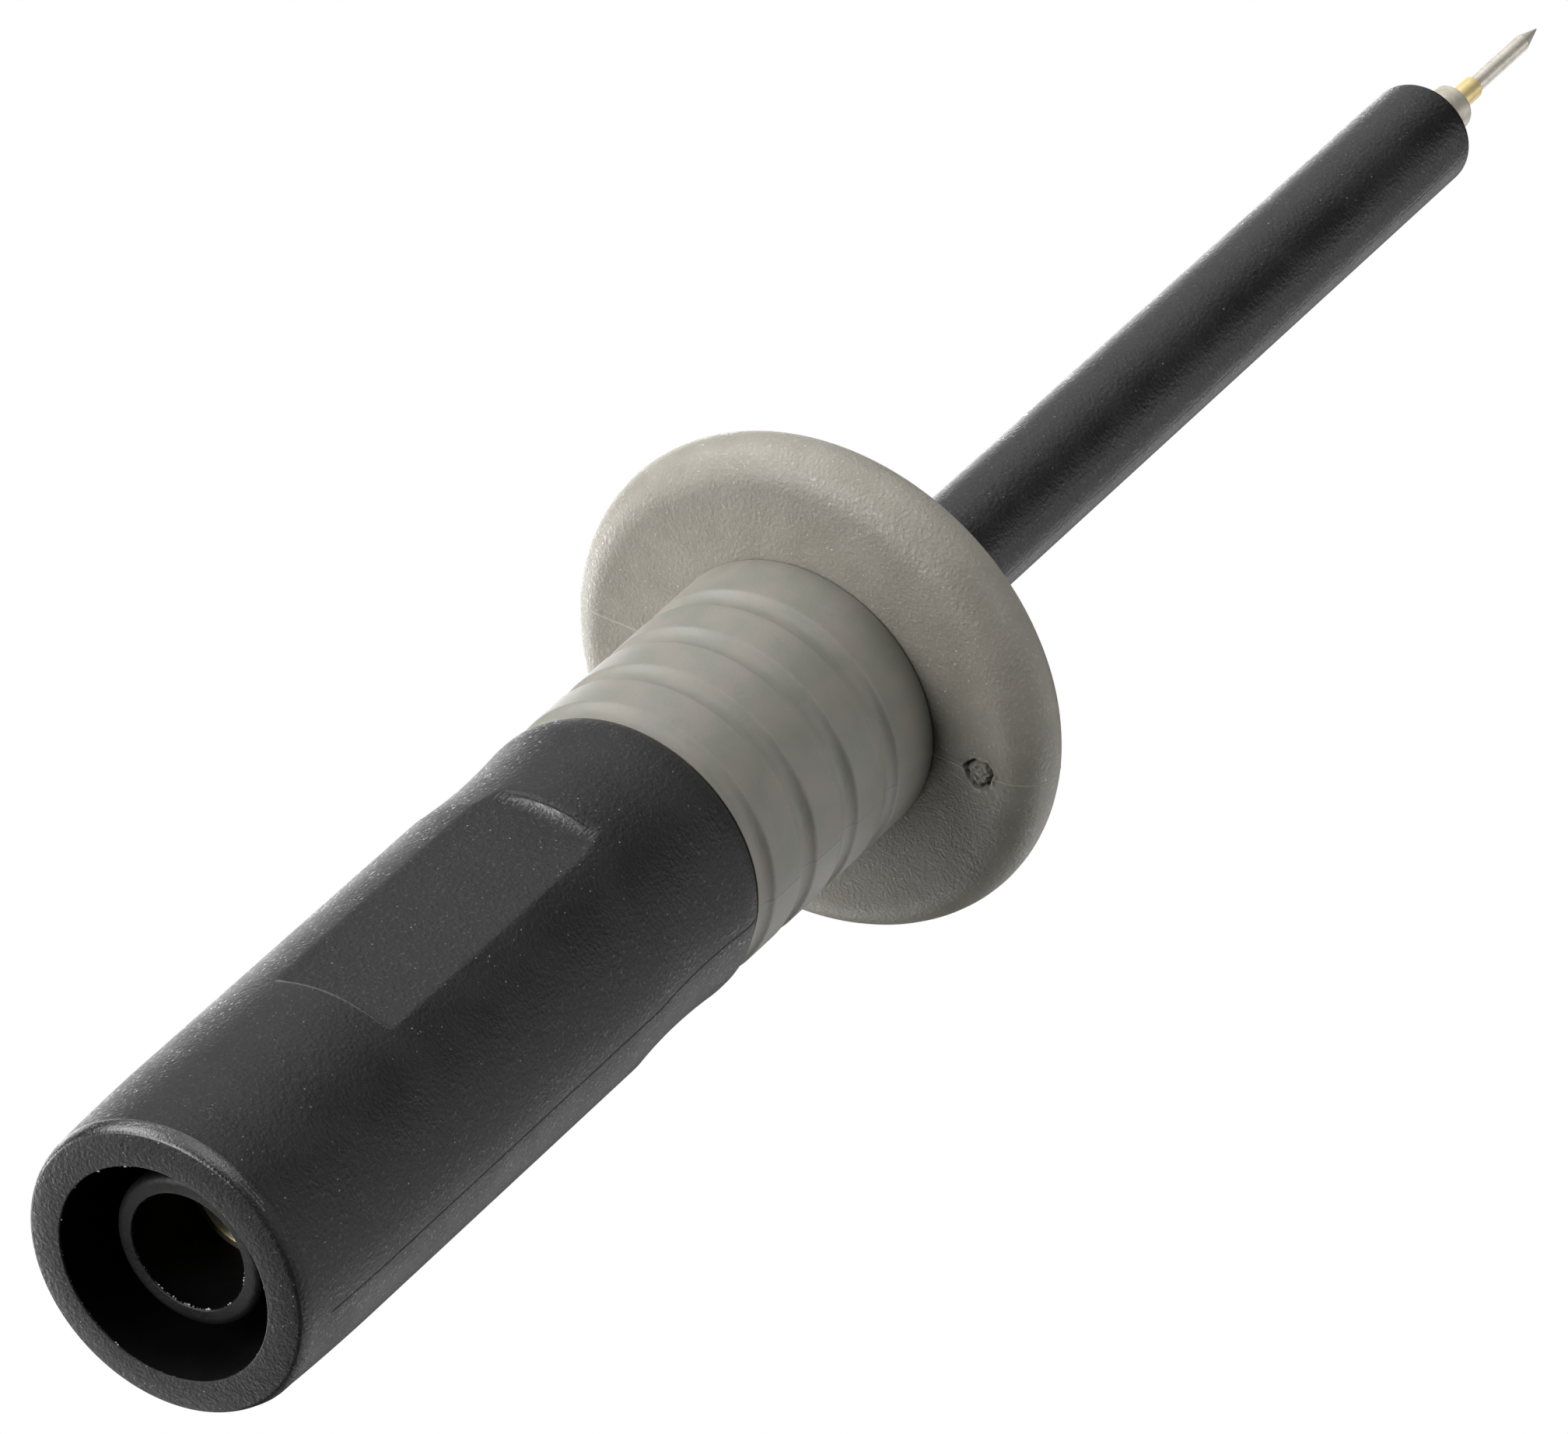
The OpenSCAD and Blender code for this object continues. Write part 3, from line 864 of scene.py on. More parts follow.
class ShapeRules:
    """The Geometry Nodes trees, with sizes in metres: ribbed sleeve, coil and flash along a rim."""

    def __init__(self) -> None:
        """Builds the three trees."""
        self.ribs = self._ribs()
        self.coil = self._coil()
        self.flash = self._flash()

    @staticmethod
    def _open(name: str, inputs: dict) -> tuple:
        """Opens a tree that takes geometry and a material and gives geometry."""
        inputs = {"Geometry": "Geometry", **inputs, "Material": "Material"}
        return open_group("GeometryNodeTree", name, inputs, {"Geometry": "Geometry"})

    @staticmethod
    def _close(
        s: Sketch, inp: bpy.types.NodeOutputs, out: bpy.types.Node, shape: bpy.types.Node
    ) -> bpy.types.NodeTree:
        """Ends a tree with its shape made real and dressed.

        Args:
            s: The tree.
            inp: The sockets of its inputs.
            out: Its output node.
            shape: The node that makes the shape.

        Returns:
            The finished tree.
        """
        solid = s.node("GeometryNodeRealizeInstances", {0: shape.outputs[0]})
        inputs = {"Geometry": solid.outputs[0], "Material": inp["Material"]}
        s.feed(out, {"Geometry": s.node("GeometryNodeSetMaterial", inputs).outputs[0]})
        return s.tree

    @staticmethod
    def _upright(s: Sketch, shape: bpy.types.Node, x: Output) -> bpy.types.Node:
        """Turns a shape made along Z to run along X, from a station on."""
        start = s.node("ShaderNodeCombineXYZ", {"X": x})
        turn = (0.0, math.pi / 2, 0.0)
        inputs = {"Geometry": shape.outputs[0], "Translation": start.outputs[0], "Rotation": turn}
        return s.node("GeometryNodeTransform", inputs)

    def _ribs(self) -> bpy.types.NodeTree:
        """Sinks evenly spaced round grooves into a sleeve's outer wall."""
        inputs = {
            "First": 0.0,
            "Pitch": 0.003,
            "Count": 3.0,
            "Width": 0.001,
            "Depth": 0.0002,
            "Wall Radius": 0.006,
        }
        s, inp, out = self._open("sleeve grooves", inputs)
        position = s.node("GeometryNodeInputPosition").outputs[0]
        at = s.node("ShaderNodeSeparateXYZ", {0: position}).outputs
        steps = s.math("DIVIDE", s.math("SUBTRACT", at["X"], inp["First"]), inp["Pitch"])
        nearest = s.math("MAXIMUM", s.math("ROUND", steps), 0.0)
        nearest = s.math("MINIMUM", nearest, s.math("SUBTRACT", inp["Count"], 1.0))
        middle = s.math("MULTIPLY_ADD", nearest, inp["Pitch"], inp["First"])
        half = s.math("MULTIPLY", inp["Width"], 0.5)
        off = s.math("DIVIDE", s.math("SUBTRACT", at["X"], middle), half)
        bowl = s.math("SUBTRACT", 1.0, s.math("MULTIPLY", off, off))
        bowl = s.math("SMOOTH_MAX", bowl, 0.0, 0.35)
        sink = s.math("MULTIPLY", s.math("MULTIPLY", bowl, inp["Depth"]), -1.0)
        across = s.node("ShaderNodeCombineXYZ", {"Y": at["Y"], "Z": at["Z"]}).outputs[0]
        shift = s.vector("SCALE", s.vector("NORMALIZE", across), sink)
        on_wall = s.math("GREATER_THAN", s.vector("LENGTH", across), inp["Wall Radius"])
        moved = {"Geometry": inp["Geometry"], "Selection": on_wall, "Offset": shift}
        return self._close(s, inp, out, s.node("GeometryNodeSetPosition", moved))

    def _coil(self) -> bpy.types.NodeTree:
        """Winds a round wire along the X axis."""
        inputs = {
            "Start": 0.0,
            "Length": 0.01,
            "Turns": 20.0,
            "Coil Radius": 0.0003,
            "Wire Radius": 0.00006,
        }
        s, inp, out = self._open("coil spring", inputs)
        helix = s.node(
            "GeometryNodeCurveSpiral",
            {
                "Resolution": 32,
                "Rotations": inp["Turns"],
                "Start Radius": inp["Coil Radius"],
                "End Radius": inp["Coil Radius"],
                "Height": inp["Length"],
            },
        )
        wire = s.node(
            "GeometryNodeCurvePrimitiveCircle", {"Resolution": 10, "Radius": inp["Wire Radius"]}
        )
        swept = s.node(
            "GeometryNodeCurveToMesh",
            {"Curve": helix.outputs[0], "Profile Curve": wire.outputs[0], "Fill Caps": True},
        )
        return self._close(s, inp, out, self._upright(s, swept, inp["Start"]))

    @staticmethod
    def _scattered(s: Sketch, seed: object, low: Colour, high: Colour) -> Output:
        """Gives each element its own vector between two."""
        inputs = {"Min": low, "Max": high, "Seed": seed}
        return s.node("FunctionNodeRandomValue", inputs, data_type="FLOAT_VECTOR").outputs["Value"]

    def _flash(self) -> bpy.types.NodeTree:
        """Scatters ragged flakes of moulding flash along a rim that is square to X.

        The flakes stand in clumps, and more and larger ones stand towards the thick side.
        """
        inputs = {
            "Station": 0.0,
            "Rim Radius": 0.004,
            "Places": 60,
            "Share": 0.4,
            "Smallest": 0.00002,
            "Largest": 0.00008,
            "Jitter": 0.00004,
            "Clumps": 900.0,
            "Thick Side": "Vector",
            "Seed": 3,
        }
        s, inp, out = self._open("rim flash", inputs)
        circle = {"Resolution": 128, "Radius": inp["Rim Radius"]}
        rim = self._upright(s, s.node("GeometryNodeCurvePrimitiveCircle", circle), inp["Station"])
        spots = {"Curve": rim.outputs[0], "Count": inp["Places"]}
        spots = s.node("GeometryNodeCurveToPoints", spots).outputs[0]
        wobble = self._scattered(s, inp["Seed"], (-1.0, -1.0, -1.0), (1.0, 1.0, 1.0))
        drift = {"Geometry": spots, "Offset": s.vector("SCALE", wobble, inp["Jitter"])}
        spread = s.node("GeometryNodeSetPosition", drift)
        flake = s.node("GeometryNodeMeshIcoSphere", {"Radius": 1.0, "Subdivisions": 2})
        ragged = self._scattered(s, 11, (-0.28, -0.28, -0.28), (0.28, 0.28, 0.28))
        torn = {"Geometry": flake.outputs["Mesh"], "Offset": ragged}
        torn = s.node("GeometryNodeSetPosition", torn)
        clumps = s.noise({"Scale": inp["Clumps"], "Detail": 2.0})
        outward = s.vector("NORMALIZE", s.node("GeometryNodeInputPosition").outputs[0])
        lean = s.vector("DOT_PRODUCT", outward, inp["Thick Side"])
        thick = s.ramp(s.math("ADD", clumps, lean), 0.5, 0.7, smooth=True)
        likely = s.math("MULTIPLY", s.math("MULTIPLY_ADD", thick, 0.7, 0.3), inp["Share"])
        chance = {"Probability": likely, "Seed": inp["Seed"]}
        chosen = s.node("FunctionNodeRandomValue", chance, data_type="BOOLEAN")
        luck = s.node("FunctionNodeRandomValue", {"Seed": 7}, data_type="FLOAT").outputs[1]
        grown = s.math("MULTIPLY", s.math("POWER", luck, 2.5), thick)
        gain = s.math("SUBTRACT", inp["Largest"], inp["Smallest"])
        size = s.math("MULTIPLY_ADD", grown, gain, inp["Smallest"])
        squat = s.node("ShaderNodeCombineXYZ", {"X": 0.34, "Y": 1.0, "Z": 0.55}).outputs[0]
        flakes = s.node(
            "GeometryNodeInstanceOnPoints",
            {
                "Points": spread.outputs[0],
                "Selection": chosen.outputs[3],
                "Instance": torn.outputs[0],
                "Rotation": self._scattered(s, 5, (0.0, 0.0, 0.0), (math.tau, 0.2, 0.2)),
                "Scale": s.vector("SCALE", squat, size),
            },
        )
        return self._close(s, inp, out, flakes)


# ---- sub-assemblies ----


def span(node: str) -> tuple[float, float, float]:
    """Gives a solid's first and last station and its radius, in millimetres."""
    low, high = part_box(node)
    return low.x / MM, high.x / MM, high.y / MM


def soft_min(a: np.ndarray, b: np.ndarray, blend: float) -> np.ndarray:
    """The smaller of two values with a rounded change-over of the given width."""
    h = np.clip(0.5 + 0.5 * (b - a) / blend, 0, 1)
    return b + (a - b) * h - blend * h * (1 - h)


def ridge(distance: np.ndarray, width: float) -> np.ndarray:
    """A smooth bump of height 1 and the given half width."""
    return np.exp(-((distance / width) ** 2))


def within(value: np.ndarray, low: float, high: float) -> np.ndarray:
    """Tells which values lie between two limits."""
    return (value > low) & (value < high)


def waves(base: float, at: np.ndarray, rows: Waves) -> np.ndarray:
    """Adds sine waves to a base value, each with its height, rate and phase."""
    total = base
    for height, rate, phase in rows:
        total = total + height * np.sin(rate * at + phase)
    return total


def seams(half: float, step: float) -> list[Stretch]:
    """Gives the finer stretches of columns where the parting plane cuts a surface."""
    return [(0, half, step), (180, half, step)]


@dataclass
class Assembly:
    """A part of the probe, whose pieces take their finishes from one store."""

    finishes: Finishes

    def turned(
        self, name: str, outline: Outline, angles: np.ndarray, finish: Finish, **shape
    ) -> bpy.types.Object:
        """Turns an outline into a dressed piece, with turned_mesh's other arguments in shape."""
        return place(turned_mesh(name, outline, angles, **shape), self.finishes.of(finish))

    def grown(
        self,
        name: str,
        tree: bpy.types.NodeTree,
        finish: Finish,
        lengths: dict[str, float],
        others: dict,
        source: bpy.types.Mesh | None = None,
    ) -> bpy.types.Object:
        """Grows a dressed piece by a shape rule.

        Args:
            name: The piece's name.
            tree: The rule.
            finish: The piece's finish.
            lengths: The rule's inputs that are lengths, in millimetres.
            others: Its other inputs.
            source: The mesh that the rule starts from, or none.

        Returns:
            The piece.
        """
        material = self.finishes.of(finish)
        values = {label: length * MM for label, length in lengths.items()}
        values |= {**others, "Material": material}
        return place(baked(name, tree, values, source), material)


@dataclass
class Handle(Assembly):
    """The black body: round barrel, soft waist, bare label panel, recess and inner pockets."""

    rear_round: float = 1.2
    face_trim: float = 0.42
    rear_run: float = 7.0
    rear_drop: float = 0.2
    dome_r: float = 5.0
    dome_turn: float = 12.0
    edge_r: float = 0.25
    edge_turn: float = 60.0
    arc_points: int = 8
    ridge_height: float = 0.03
    ridge_width: float = 0.09
    ridge_mean: float = 0.62
    ridge_waves: Waves = ((0.25, 5, 0.7), (0.13, 23, 0), (0.1, 57, 0))
    ridge_wander: Waves = ((0.03, 9, 0),)
    # Where the painted highlight lies on the rear bevel, in degrees round the axis: its middle, half
    # width and wander.
    highlight_turn: float = 76.0
    highlight_half: float = 48.0
    highlight_wander: float = 7.0
    rim_round: float = 0.07
    waist_depth: float = 0.17
    waist_half: float = 3.4
    end_run: float = 0.9
    end_drop: float = 0.32
    end_inset: float = 0.04
    panel_w: float = 5.28
    panel_setback: float = 11.4
    panel_len: float = 15.4
    foot_r: float = 0.2
    ramp_r: float = 0.62
    brink_r: float = 0.24
    brink_share: float = 0.7
    panel_blend: float = 0.05
    panel_half_turn: float = 23.9
    ramp_clear: float = 0.01
    ragged_mean: float = 0.05
    ragged_waves: Waves = ((0.03, 2.6, 0), (0.03, 7.1, 0))
    brink_reach: float = 0.002
    brink_floor: float = 0.02
    steps_in: tuple[float, ...] = (
        0.002, 0.01, 0.025, 0.045, 0.07, 0.1, 0.14, 0.2, 0.26, 0.32, 0.38, 0.46, 0.55
    )  # fmt: skip
    steps_out: tuple[float, ...] = (0.0, 0.02, 0.045, 0.08, 0.12, 0.16, 0.2, 0.25)
    recess_r: float = 4.7
    pocket_r: float = 3.9
    seam_start: float = 1.9
    seam_depth: float = 0.035
    seam_width: float = 0.045
    columns: int = 168
    panel_columns: Stretch = (90, 31, 0.55)
    seam_columns: tuple[float, float] = (1.3, 0.16)
    core_pitch: float = 3.0
    wall_pitch: float = 0.45
    corner_zone: float = 2.0
    corner_pitch: float = 0.14
    ridge_zone: float = 0.25
    ridge_pitch: float = 0.06
    rear_pitch: float = 0.5
    waist_pitch: float = 0.15

    def __post_init__(self) -> None:
        """Reads the stations from the frame and works out what follows from them."""
        self.rear_x, self.core_x, self.barrel_r = span("handle_body")
        self.body_x = span("grip_sleeve")[0]
        self.floor_x = span("socket_insulator")[1]
        self.stop_x = span("spacer_tube")[1] + FLANGE_LEN
        self.wall_r = CORE_R + 0.3
        self.end_r = self.barrel_r - self.end_inset
        self.bend_r = arc_radius(self.rear_run, self.rear_drop)
        self.slope = math.asin((self.rear_run - self.rear_round) / (self.bend_r - self.rear_round))
        self.face_x = self.rear_x - self.face_trim
        self.ridge_x = self.face_x + self.rear_round * (1 - math.sin(self.slope))
        self.panel_z = math.sqrt(self.barrel_r**2 - self.panel_w**2 / 4)
        self.panel_x = self.rear_x + self.panel_setback
        self.ramp_x = self.panel_x + self.panel_len

    def barrel_radius(self, x: float) -> float:
        """Gives the outside radius of the black body at a station."""
        end_x = self.body_x - self.end_run
        waist_x = end_x - self.waist_half
        base = self.barrel_r if x < waist_x else self.end_r
        off = abs(x - waist_x)
        if off < self.waist_half:
            arc = arc_radius(self.waist_half, self.waist_depth)
            sunk = self.barrel_r - self.waist_depth + arc - math.sqrt(arc * arc - off * off)
            base = min(base, sunk)
        run = x - end_x
        if run > 0:
            arc = arc_radius(self.end_run, self.end_drop)
            base = self.end_r - arc + math.sqrt(max(arc * arc - run * run, 0.0))
        lead = self.face_x + self.rear_run - x
        if lead > 0:
            base = self.barrel_r - self.bend_r + math.sqrt(self.bend_r**2 - lead * lead)
        return base

    def rear_corner(self) -> list[Corner]:
        """Gives the rear face's dome, the edge round it and the bevel, up to the ridge."""
        dome, edge = math.radians(self.dome_turn), math.radians(self.edge_turn)
        steep = math.pi / 2 - self.slope
        used = self.dome_r * (1 - math.cos(dome)) + self.edge_r * (math.cos(dome) - math.cos(edge))
        bevel_r = (self.ridge_x - self.rear_x - used) / (math.cos(edge) - math.cos(steep))
        ridge_r = self.barrel_r - self.bend_r + self.bend_r * math.cos(self.slope)
        found = [Corner(self.ridge_x, ridge_r)]
        arcs = ((steep, edge, bevel_r), (edge, dome, self.edge_r), (dome, 0.0, self.dome_r))
        for far, near, bend in arcs:
            x, r = found[-1].x, found[-1].r
            for t in np.linspace(far, near, self.arc_points)[1:]:
                back, down = math.cos(t) - math.cos(far), math.sin(far) - math.sin(t)
                found.append(Corner(x - bend * back, r - bend * down))
        return found[::-1]

    def outline(self) -> Outline:
        """Gives the closed outline of the body, its core and its bores."""
        stations = [
            *np.arange(self.rear_x + 1.6, self.rear_x + self.rear_run, self.rear_pitch),
            *np.arange(
                self.body_x - self.end_run - 2 * self.waist_half, self.body_x, self.waist_pitch
            ),
        ]
        corners = [
            Corner(self.rear_x, self.recess_r, self.rim_round),
            *self.rear_corner(),
            *[Corner(x, self.barrel_radius(x)) for x in stations],
            Corner(self.body_x, self.barrel_radius(self.body_x)),
            Corner(self.body_x, CORE_R),
            Corner(self.core_x, CORE_R),
            Corner(self.core_x, ROOT_R),
            Corner(self.stop_x, ROOT_R),
            Corner(self.stop_x, self.pocket_r),
            Corner(self.floor_x, self.pocket_r),
            Corner(self.floor_x, self.recess_r),
        ]
        return self._with_panel_rows(finer(rounded(corners), self._pitch))

    def _pitch(self, x: float, r: float) -> float:
        """Gives the longest step wanted along the outline."""
        if x > self.rear_x + 0.01 and r < self.wall_r:
            return self.core_pitch
        if x < self.rear_x + self.corner_zone:
            near = abs(x - self.ridge_x) < self.ridge_zone
            return self.ridge_pitch if near else self.corner_pitch
        return self.wall_pitch

    def _with_panel_rows(self, outline: Outline) -> Outline:
        """Adds the close rows that both steep ends of the panel need."""
        rows: list[float] = []
        for end, inward in ((self.panel_x, 1), (self.ramp_x, -1)):
            rows += [end + inward * step for step in self.steps_in]
            rows += [end - inward * step for step in self.steps_out]
        dense: Outline = []
        for (x0, r0), (x1, r1) in zip(outline, outline[1:] + outline[:1]):
            dense.append((x0, r0))
            if min(r0, r1) > self.wall_r and x1 > x0:
                inside = sorted(x for x in rows if x0 + 0.001 < x < x1 - 0.001)
                dense += [(x, r0 + (r1 - r0) * (x - x0) / (x1 - x0)) for x in inside]
        return dense

    def _panel(self, at: Skin) -> np.ndarray:
        """Sinks the label panel, with a hollow ramp at its front end and a soft brink at both."""
        inward = np.minimum(at.x - self.panel_x, self.ramp_x - at.x)
        facing = np.maximum(np.sin(at.turn), 0.05)
        hollow = np.where(at.x > self.panel_x + self.panel_len / 2, self.ramp_r, self.foot_r)
        foot = hollow - np.clip(inward, 0.0, hollow)
        rise = hollow - np.sqrt(hollow**2 - foot**2)
        floor = (self.panel_z + rise) / facing
        cut = np.minimum(soft_min(at.r, floor, self.panel_blend) - at.r, 0.0)
        over = np.clip(self.brink_r + inward, 0.0, self.brink_r)
        brink = self.brink_r - np.sqrt(self.brink_r**2 - over**2)
        depth = np.maximum(at.r - self.panel_z / facing, 0.0)
        brink = -brink * np.clip(depth / self.brink_r, 0.0, 1.0) * self.brink_share
        return np.where(inward > 0, np.minimum(cut, brink), brink)

    def relief(self, at: Skin) -> np.ndarray:
        """Cuts the label panel and the parting line, and raises the rear ridge."""
        seam = -self.seam_depth * ridge(at.z, self.seam_width)
        seam = np.where(at.x > self.rear_x + self.seam_start, seam, 0.0)
        uneven = waves(self.ridge_mean, at.turn, self.ridge_waves)
        wander = waves(0.0, at.turn, self.ridge_wander)
        lifted = self.ridge_height * uneven * ridge(at.x - self.ridge_x - wander, self.ridge_width)
        outer = (at.out > OUTWARD) & (at.r > self.wall_r)
        return np.where(outer, self._panel(at) + seam + lifted, 0.0)

    def _recess_shade_faces(self, at: Skin) -> np.ndarray:
        """Tells the faces inside the recess, which take the painted shade."""
        return (at.r < self.recess_r + 0.03) & (at.x > self.rear_x + 0.08)

    def _bevel_lit_side(self, at: Skin) -> np.ndarray:
        """Tells the faces of the rear bevel on the lit side, towards the panel, which take the
        glossy finish with a painted highlight.
        """
        bevel = within(at.x, self.rear_x + 0.13, self.ridge_x + self.ridge_width / 2)
        off = np.degrees(at.turn) - self.highlight_turn - self.highlight_wander * np.sin(40 * at.x)
        return bevel & (at.r > CORE_R + 0.8) & (np.abs(off) < self.highlight_half)

    def _panel_ends_lit_side(self, at: Skin) -> np.ndarray:
        """Tells the faces at the panel's ends that take the glossy finish with a painted highlight:
        the ramp's upper part and the rear brink.
        """
        turn = np.degrees(at.turn)
        height = at.z - self.panel_z
        ramp = within(at.x, self.ramp_x - self.ramp_r, self.ramp_x - self.ramp_clear)
        ramp &= height > waves(self.ragged_mean, turn, self.ragged_waves)
        brink = within(at.x, self.panel_x - self.brink_r, self.panel_x + self.brink_reach)
        brink &= height > self.brink_floor
        facing = np.abs(turn - 90) < self.panel_half_turn + 0.1
        return (at.r > CORE_R + 0.5) & facing & (ramp | brink)

    def build(self) -> None:
        """Builds the body, with painted shade in the recess, and a glossier finish with a painted
        highlight on the lit side of its rear bevel and panel ends.
        """
        sides = [(90 + side * self.panel_half_turn, 4, 0.3) for side in (-1, 1)]
        fine = [self.panel_columns, *sides, *seams(*self.seam_columns)]
        angles = even_angles(self.columns, fine)
        piece = self.turned(
            "handle_shell", self.outline(), angles, Finishes.BLACK, relief=self.relief
        )
        refinish(piece, self.finishes.of(Finishes.BLACK_PAINTED_SHADE), self._recess_shade_faces)
        for chosen in (self._bevel_lit_side, self._panel_ends_lit_side):
            refinish(piece, self.finishes.of(Finishes.BLACK_GLOSS_HIGHLIGHT), chosen)
        settle(piece, Body.PROBE, Slot.BLACK, "handle_body")


@dataclass(frozen=True)
class Rim:
    """A rim with flash.

    Attributes:
        name: The piece's name.
        x: The rim's station.
        r: The rim's radius.
        places: How many places a flake can stand in.
        share: How many of them hold one where the flash is thick.
        largest: The largest flake's radius.
        seed: The seed of the scatter.
        thick_side: Where the flash is thickest, and how much thicker it is there.
    """

    name: str
    x: float
    r: float
    places: int
    share: float
    largest: float
    seed: int
    thick_side: Colour


@dataclass
class Socket(Assembly):
    """The insulating tube, the brass contact inside it and the flash round both rims."""

    rules: ShapeRules
    tube_round: float = 0.4
    mouth_r: float = 2.55
    mouth_round: float = 0.07
    contact_r: float = 2.6
    pin_r: float = 2.0
    chamfer: float = 0.3
    contact_in: float = 0.22
    tube_r: float = 3.33
    flange_t: float = 4.5
    bore_len: float = 19.0
    cup_r: float = 1.7
    wire_r: float = 0.5
    cup_depth: float = 4.0
    contact_flange_r: float = 3.2
    contact_flange_t: float = 1.0
    smallest_flake: float = 0.016
    flake_jitter: float = 0.012
    clumps_per_mm: float = 0.9

    def __post_init__(self) -> None:
        """Reads the stations from the frame."""
        self.tube_x, self.flange_x, self.flange_r = span("socket_insulator")
        self.contact_x, self.cup_end_x, _ = span("socket_contact")
        self.contact_x += self.contact_in

    def tube_outline(self) -> Outline:
        """Gives the outline of the insulating tube and its flange."""
        corners = [
            Corner(self.tube_x, self.mouth_r, self.mouth_round),
            Corner(self.tube_x, self.tube_r, self.tube_round),
            Corner(self.flange_x - self.flange_t, self.tube_r),
            Corner(self.flange_x - self.flange_t, self.flange_r),
            Corner(self.flange_x, self.flange_r),
            Corner(self.flange_x, self.contact_r),
            Corner(self.contact_x, self.contact_r),
            Corner(self.contact_x, self.mouth_r),
        ]
        return finer(rounded(corners), lambda x, r: 1.5)

    def contact_outline(self) -> Outline:
        """Gives the outline of the turned contact with its bore and solder cup."""
        cup_x = self.flange_x + self.contact_flange_t
        corners = [
            Corner(self.bore_len, 0.0),
            Corner(self.bore_len, self.pin_r, 0.3),
            Corner(self.contact_x + self.chamfer, self.pin_r, 0.05),
            Corner(self.contact_x, self.pin_r + self.chamfer, 0.04),
            Corner(self.contact_x, self.contact_r, 0.06),
            Corner(self.flange_x, self.contact_r),
            Corner(self.flange_x, self.contact_flange_r, 0.05),
            Corner(cup_x, self.contact_flange_r, 0.1),
            Corner(cup_x, self.cup_r, 0.1),
            Corner(self.cup_end_x, self.cup_r, 0.15),
            Corner(self.cup_end_x, self.wire_r),
            Corner(self.cup_end_x - self.cup_depth, self.wire_r),
            Corner(self.cup_end_x - self.cup_depth, 0.0),
        ]
        return rounded(corners, closed=False)

    def build(self) -> None:
        """Builds the tube, the contact and the flash along both rims."""
        smooth, brass = Finishes.BLACK_SMOOTH, Finishes.BRASS
        piece = self.turned("socket_tube", self.tube_outline(), even_angles(128), smooth)
        # Painted shade: the tube's bore takes the darker black, where shade falls.
        bore = self.finishes.of(Finishes.BLACK_PAINTED_SHADE)
        refinish(piece, bore, lambda at: (at.r < self.mouth_r + 0.02) & (at.x > self.tube_x + 0.1))
        settle(piece, Body.PROBE, Slot.BLACK, "socket_insulator")
        outline = self.contact_outline()
        piece = self.turned(
            "socket_contact_turned", outline, even_angles(96), brass, closed=False
        )
        settle(piece, Body.PROBE, Slot.BRASS, "socket_contact")
        recess = Rim(
            "recess_flash",
            x=span("handle_body")[0] + 0.06,
            r=4.71,
            places=420,
            share=0.85,
            largest=0.085,
            seed=3,
            thick_side=(0.0, 0.01, 0.08),
        )
        mouth = Rim(
            "tube_flash",
            x=self.tube_x + 0.07,
            r=2.555,
            places=260,
            share=0.95,
            largest=0.13,
            seed=8,
            thick_side=(0.0, -0.07, -0.27),
        )
        for rim in (recess, mouth):
            self._flash(rim)

    def _flash(self, rim: Rim) -> None:
        """Scatters flash along a rim."""
        lengths = {
            "Station": rim.x,
            "Rim Radius": rim.r,
            "Smallest": self.smallest_flake,
            "Largest": rim.largest,
            "Jitter": self.flake_jitter,
        }
        others = {
            "Places": rim.places,
            "Share": rim.share,
            "Clumps": self.clumps_per_mm / MM,
            "Thick Side": rim.thick_side,
            "Seed": rim.seed,
        }
        piece = self.grown(rim.name, self.rules.flash, Finishes.FLASH, lengths, others)
        settle(piece, Body.PROBE, Slot.BLACK)


@dataclass
class Grip(Assembly):
    """The grey ribbed sleeve."""

    rules: ShapeRules
    groove_count: int = 4
    groove_w: float = 1.24
    groove_depth: float = 0.25
    groove_lead: float = 0.4
    last_land: float = 0.5
    rear_round: float = 0.06
    front_round: float = 0.12
    seam_height: float = 0.012
    seam_width: float = 0.05
    columns: int = 160
    seam_columns: tuple[float, float] = (1.3, 0.22)
    wall_pitch: float = 0.07
    bore_pitch: float = 1.0

    def __post_init__(self) -> None:
        """Reads the stations from the frame."""
        self.first, self.last, self.wall_r = span("grip_sleeve")

    def outline(self) -> Outline:
        """Gives the sleeve's outline before its grooves are sunk."""
        corners = [
            Corner(self.first, CORE_R),
            Corner(self.first, self.wall_r, self.rear_round),
            Corner(self.last, self.wall_r, self.front_round),
            Corner(self.last, CORE_R),
        ]
        return finer(
            rounded(corners), lambda x, r: self.wall_pitch if r > CORE_R + 0.8 else self.bore_pitch
        )

    def relief(self, at: Skin) -> np.ndarray:
        """Raises the faint parting line."""
        outer = (at.out > OUTWARD) & (at.r > CORE_R + 0.5)
        return np.where(outer, self.seam_height * ridge(at.z, self.seam_width), 0.0)

    def build(self) -> None:
        """Builds the sleeve and sinks its grooves."""
        angles = even_angles(self.columns, seams(*self.seam_columns))
        blank = turned_mesh("sleeve_blank", self.outline(), angles, self.relief)
        lengths = {
            "First": self.first + self.groove_lead,
            "Pitch": (self.last - self.first - self.last_land) / self.groove_count,
            "Width": self.groove_w,
            "Depth": self.groove_depth,
            "Wall Radius": self.wall_r - 0.2,
        }
        count = {"Count": float(self.groove_count)}
        soft = Finishes.GREY_SLEEVE
        piece = self.grown("ribbed_sleeve", self.rules.ribs, soft, lengths, count, blank)
        piece.data.set_sharp_from_angle(angle=SHARP)
        settle(piece, Body.PROBE, Slot.GREY_SOFT, "grip_sleeve")


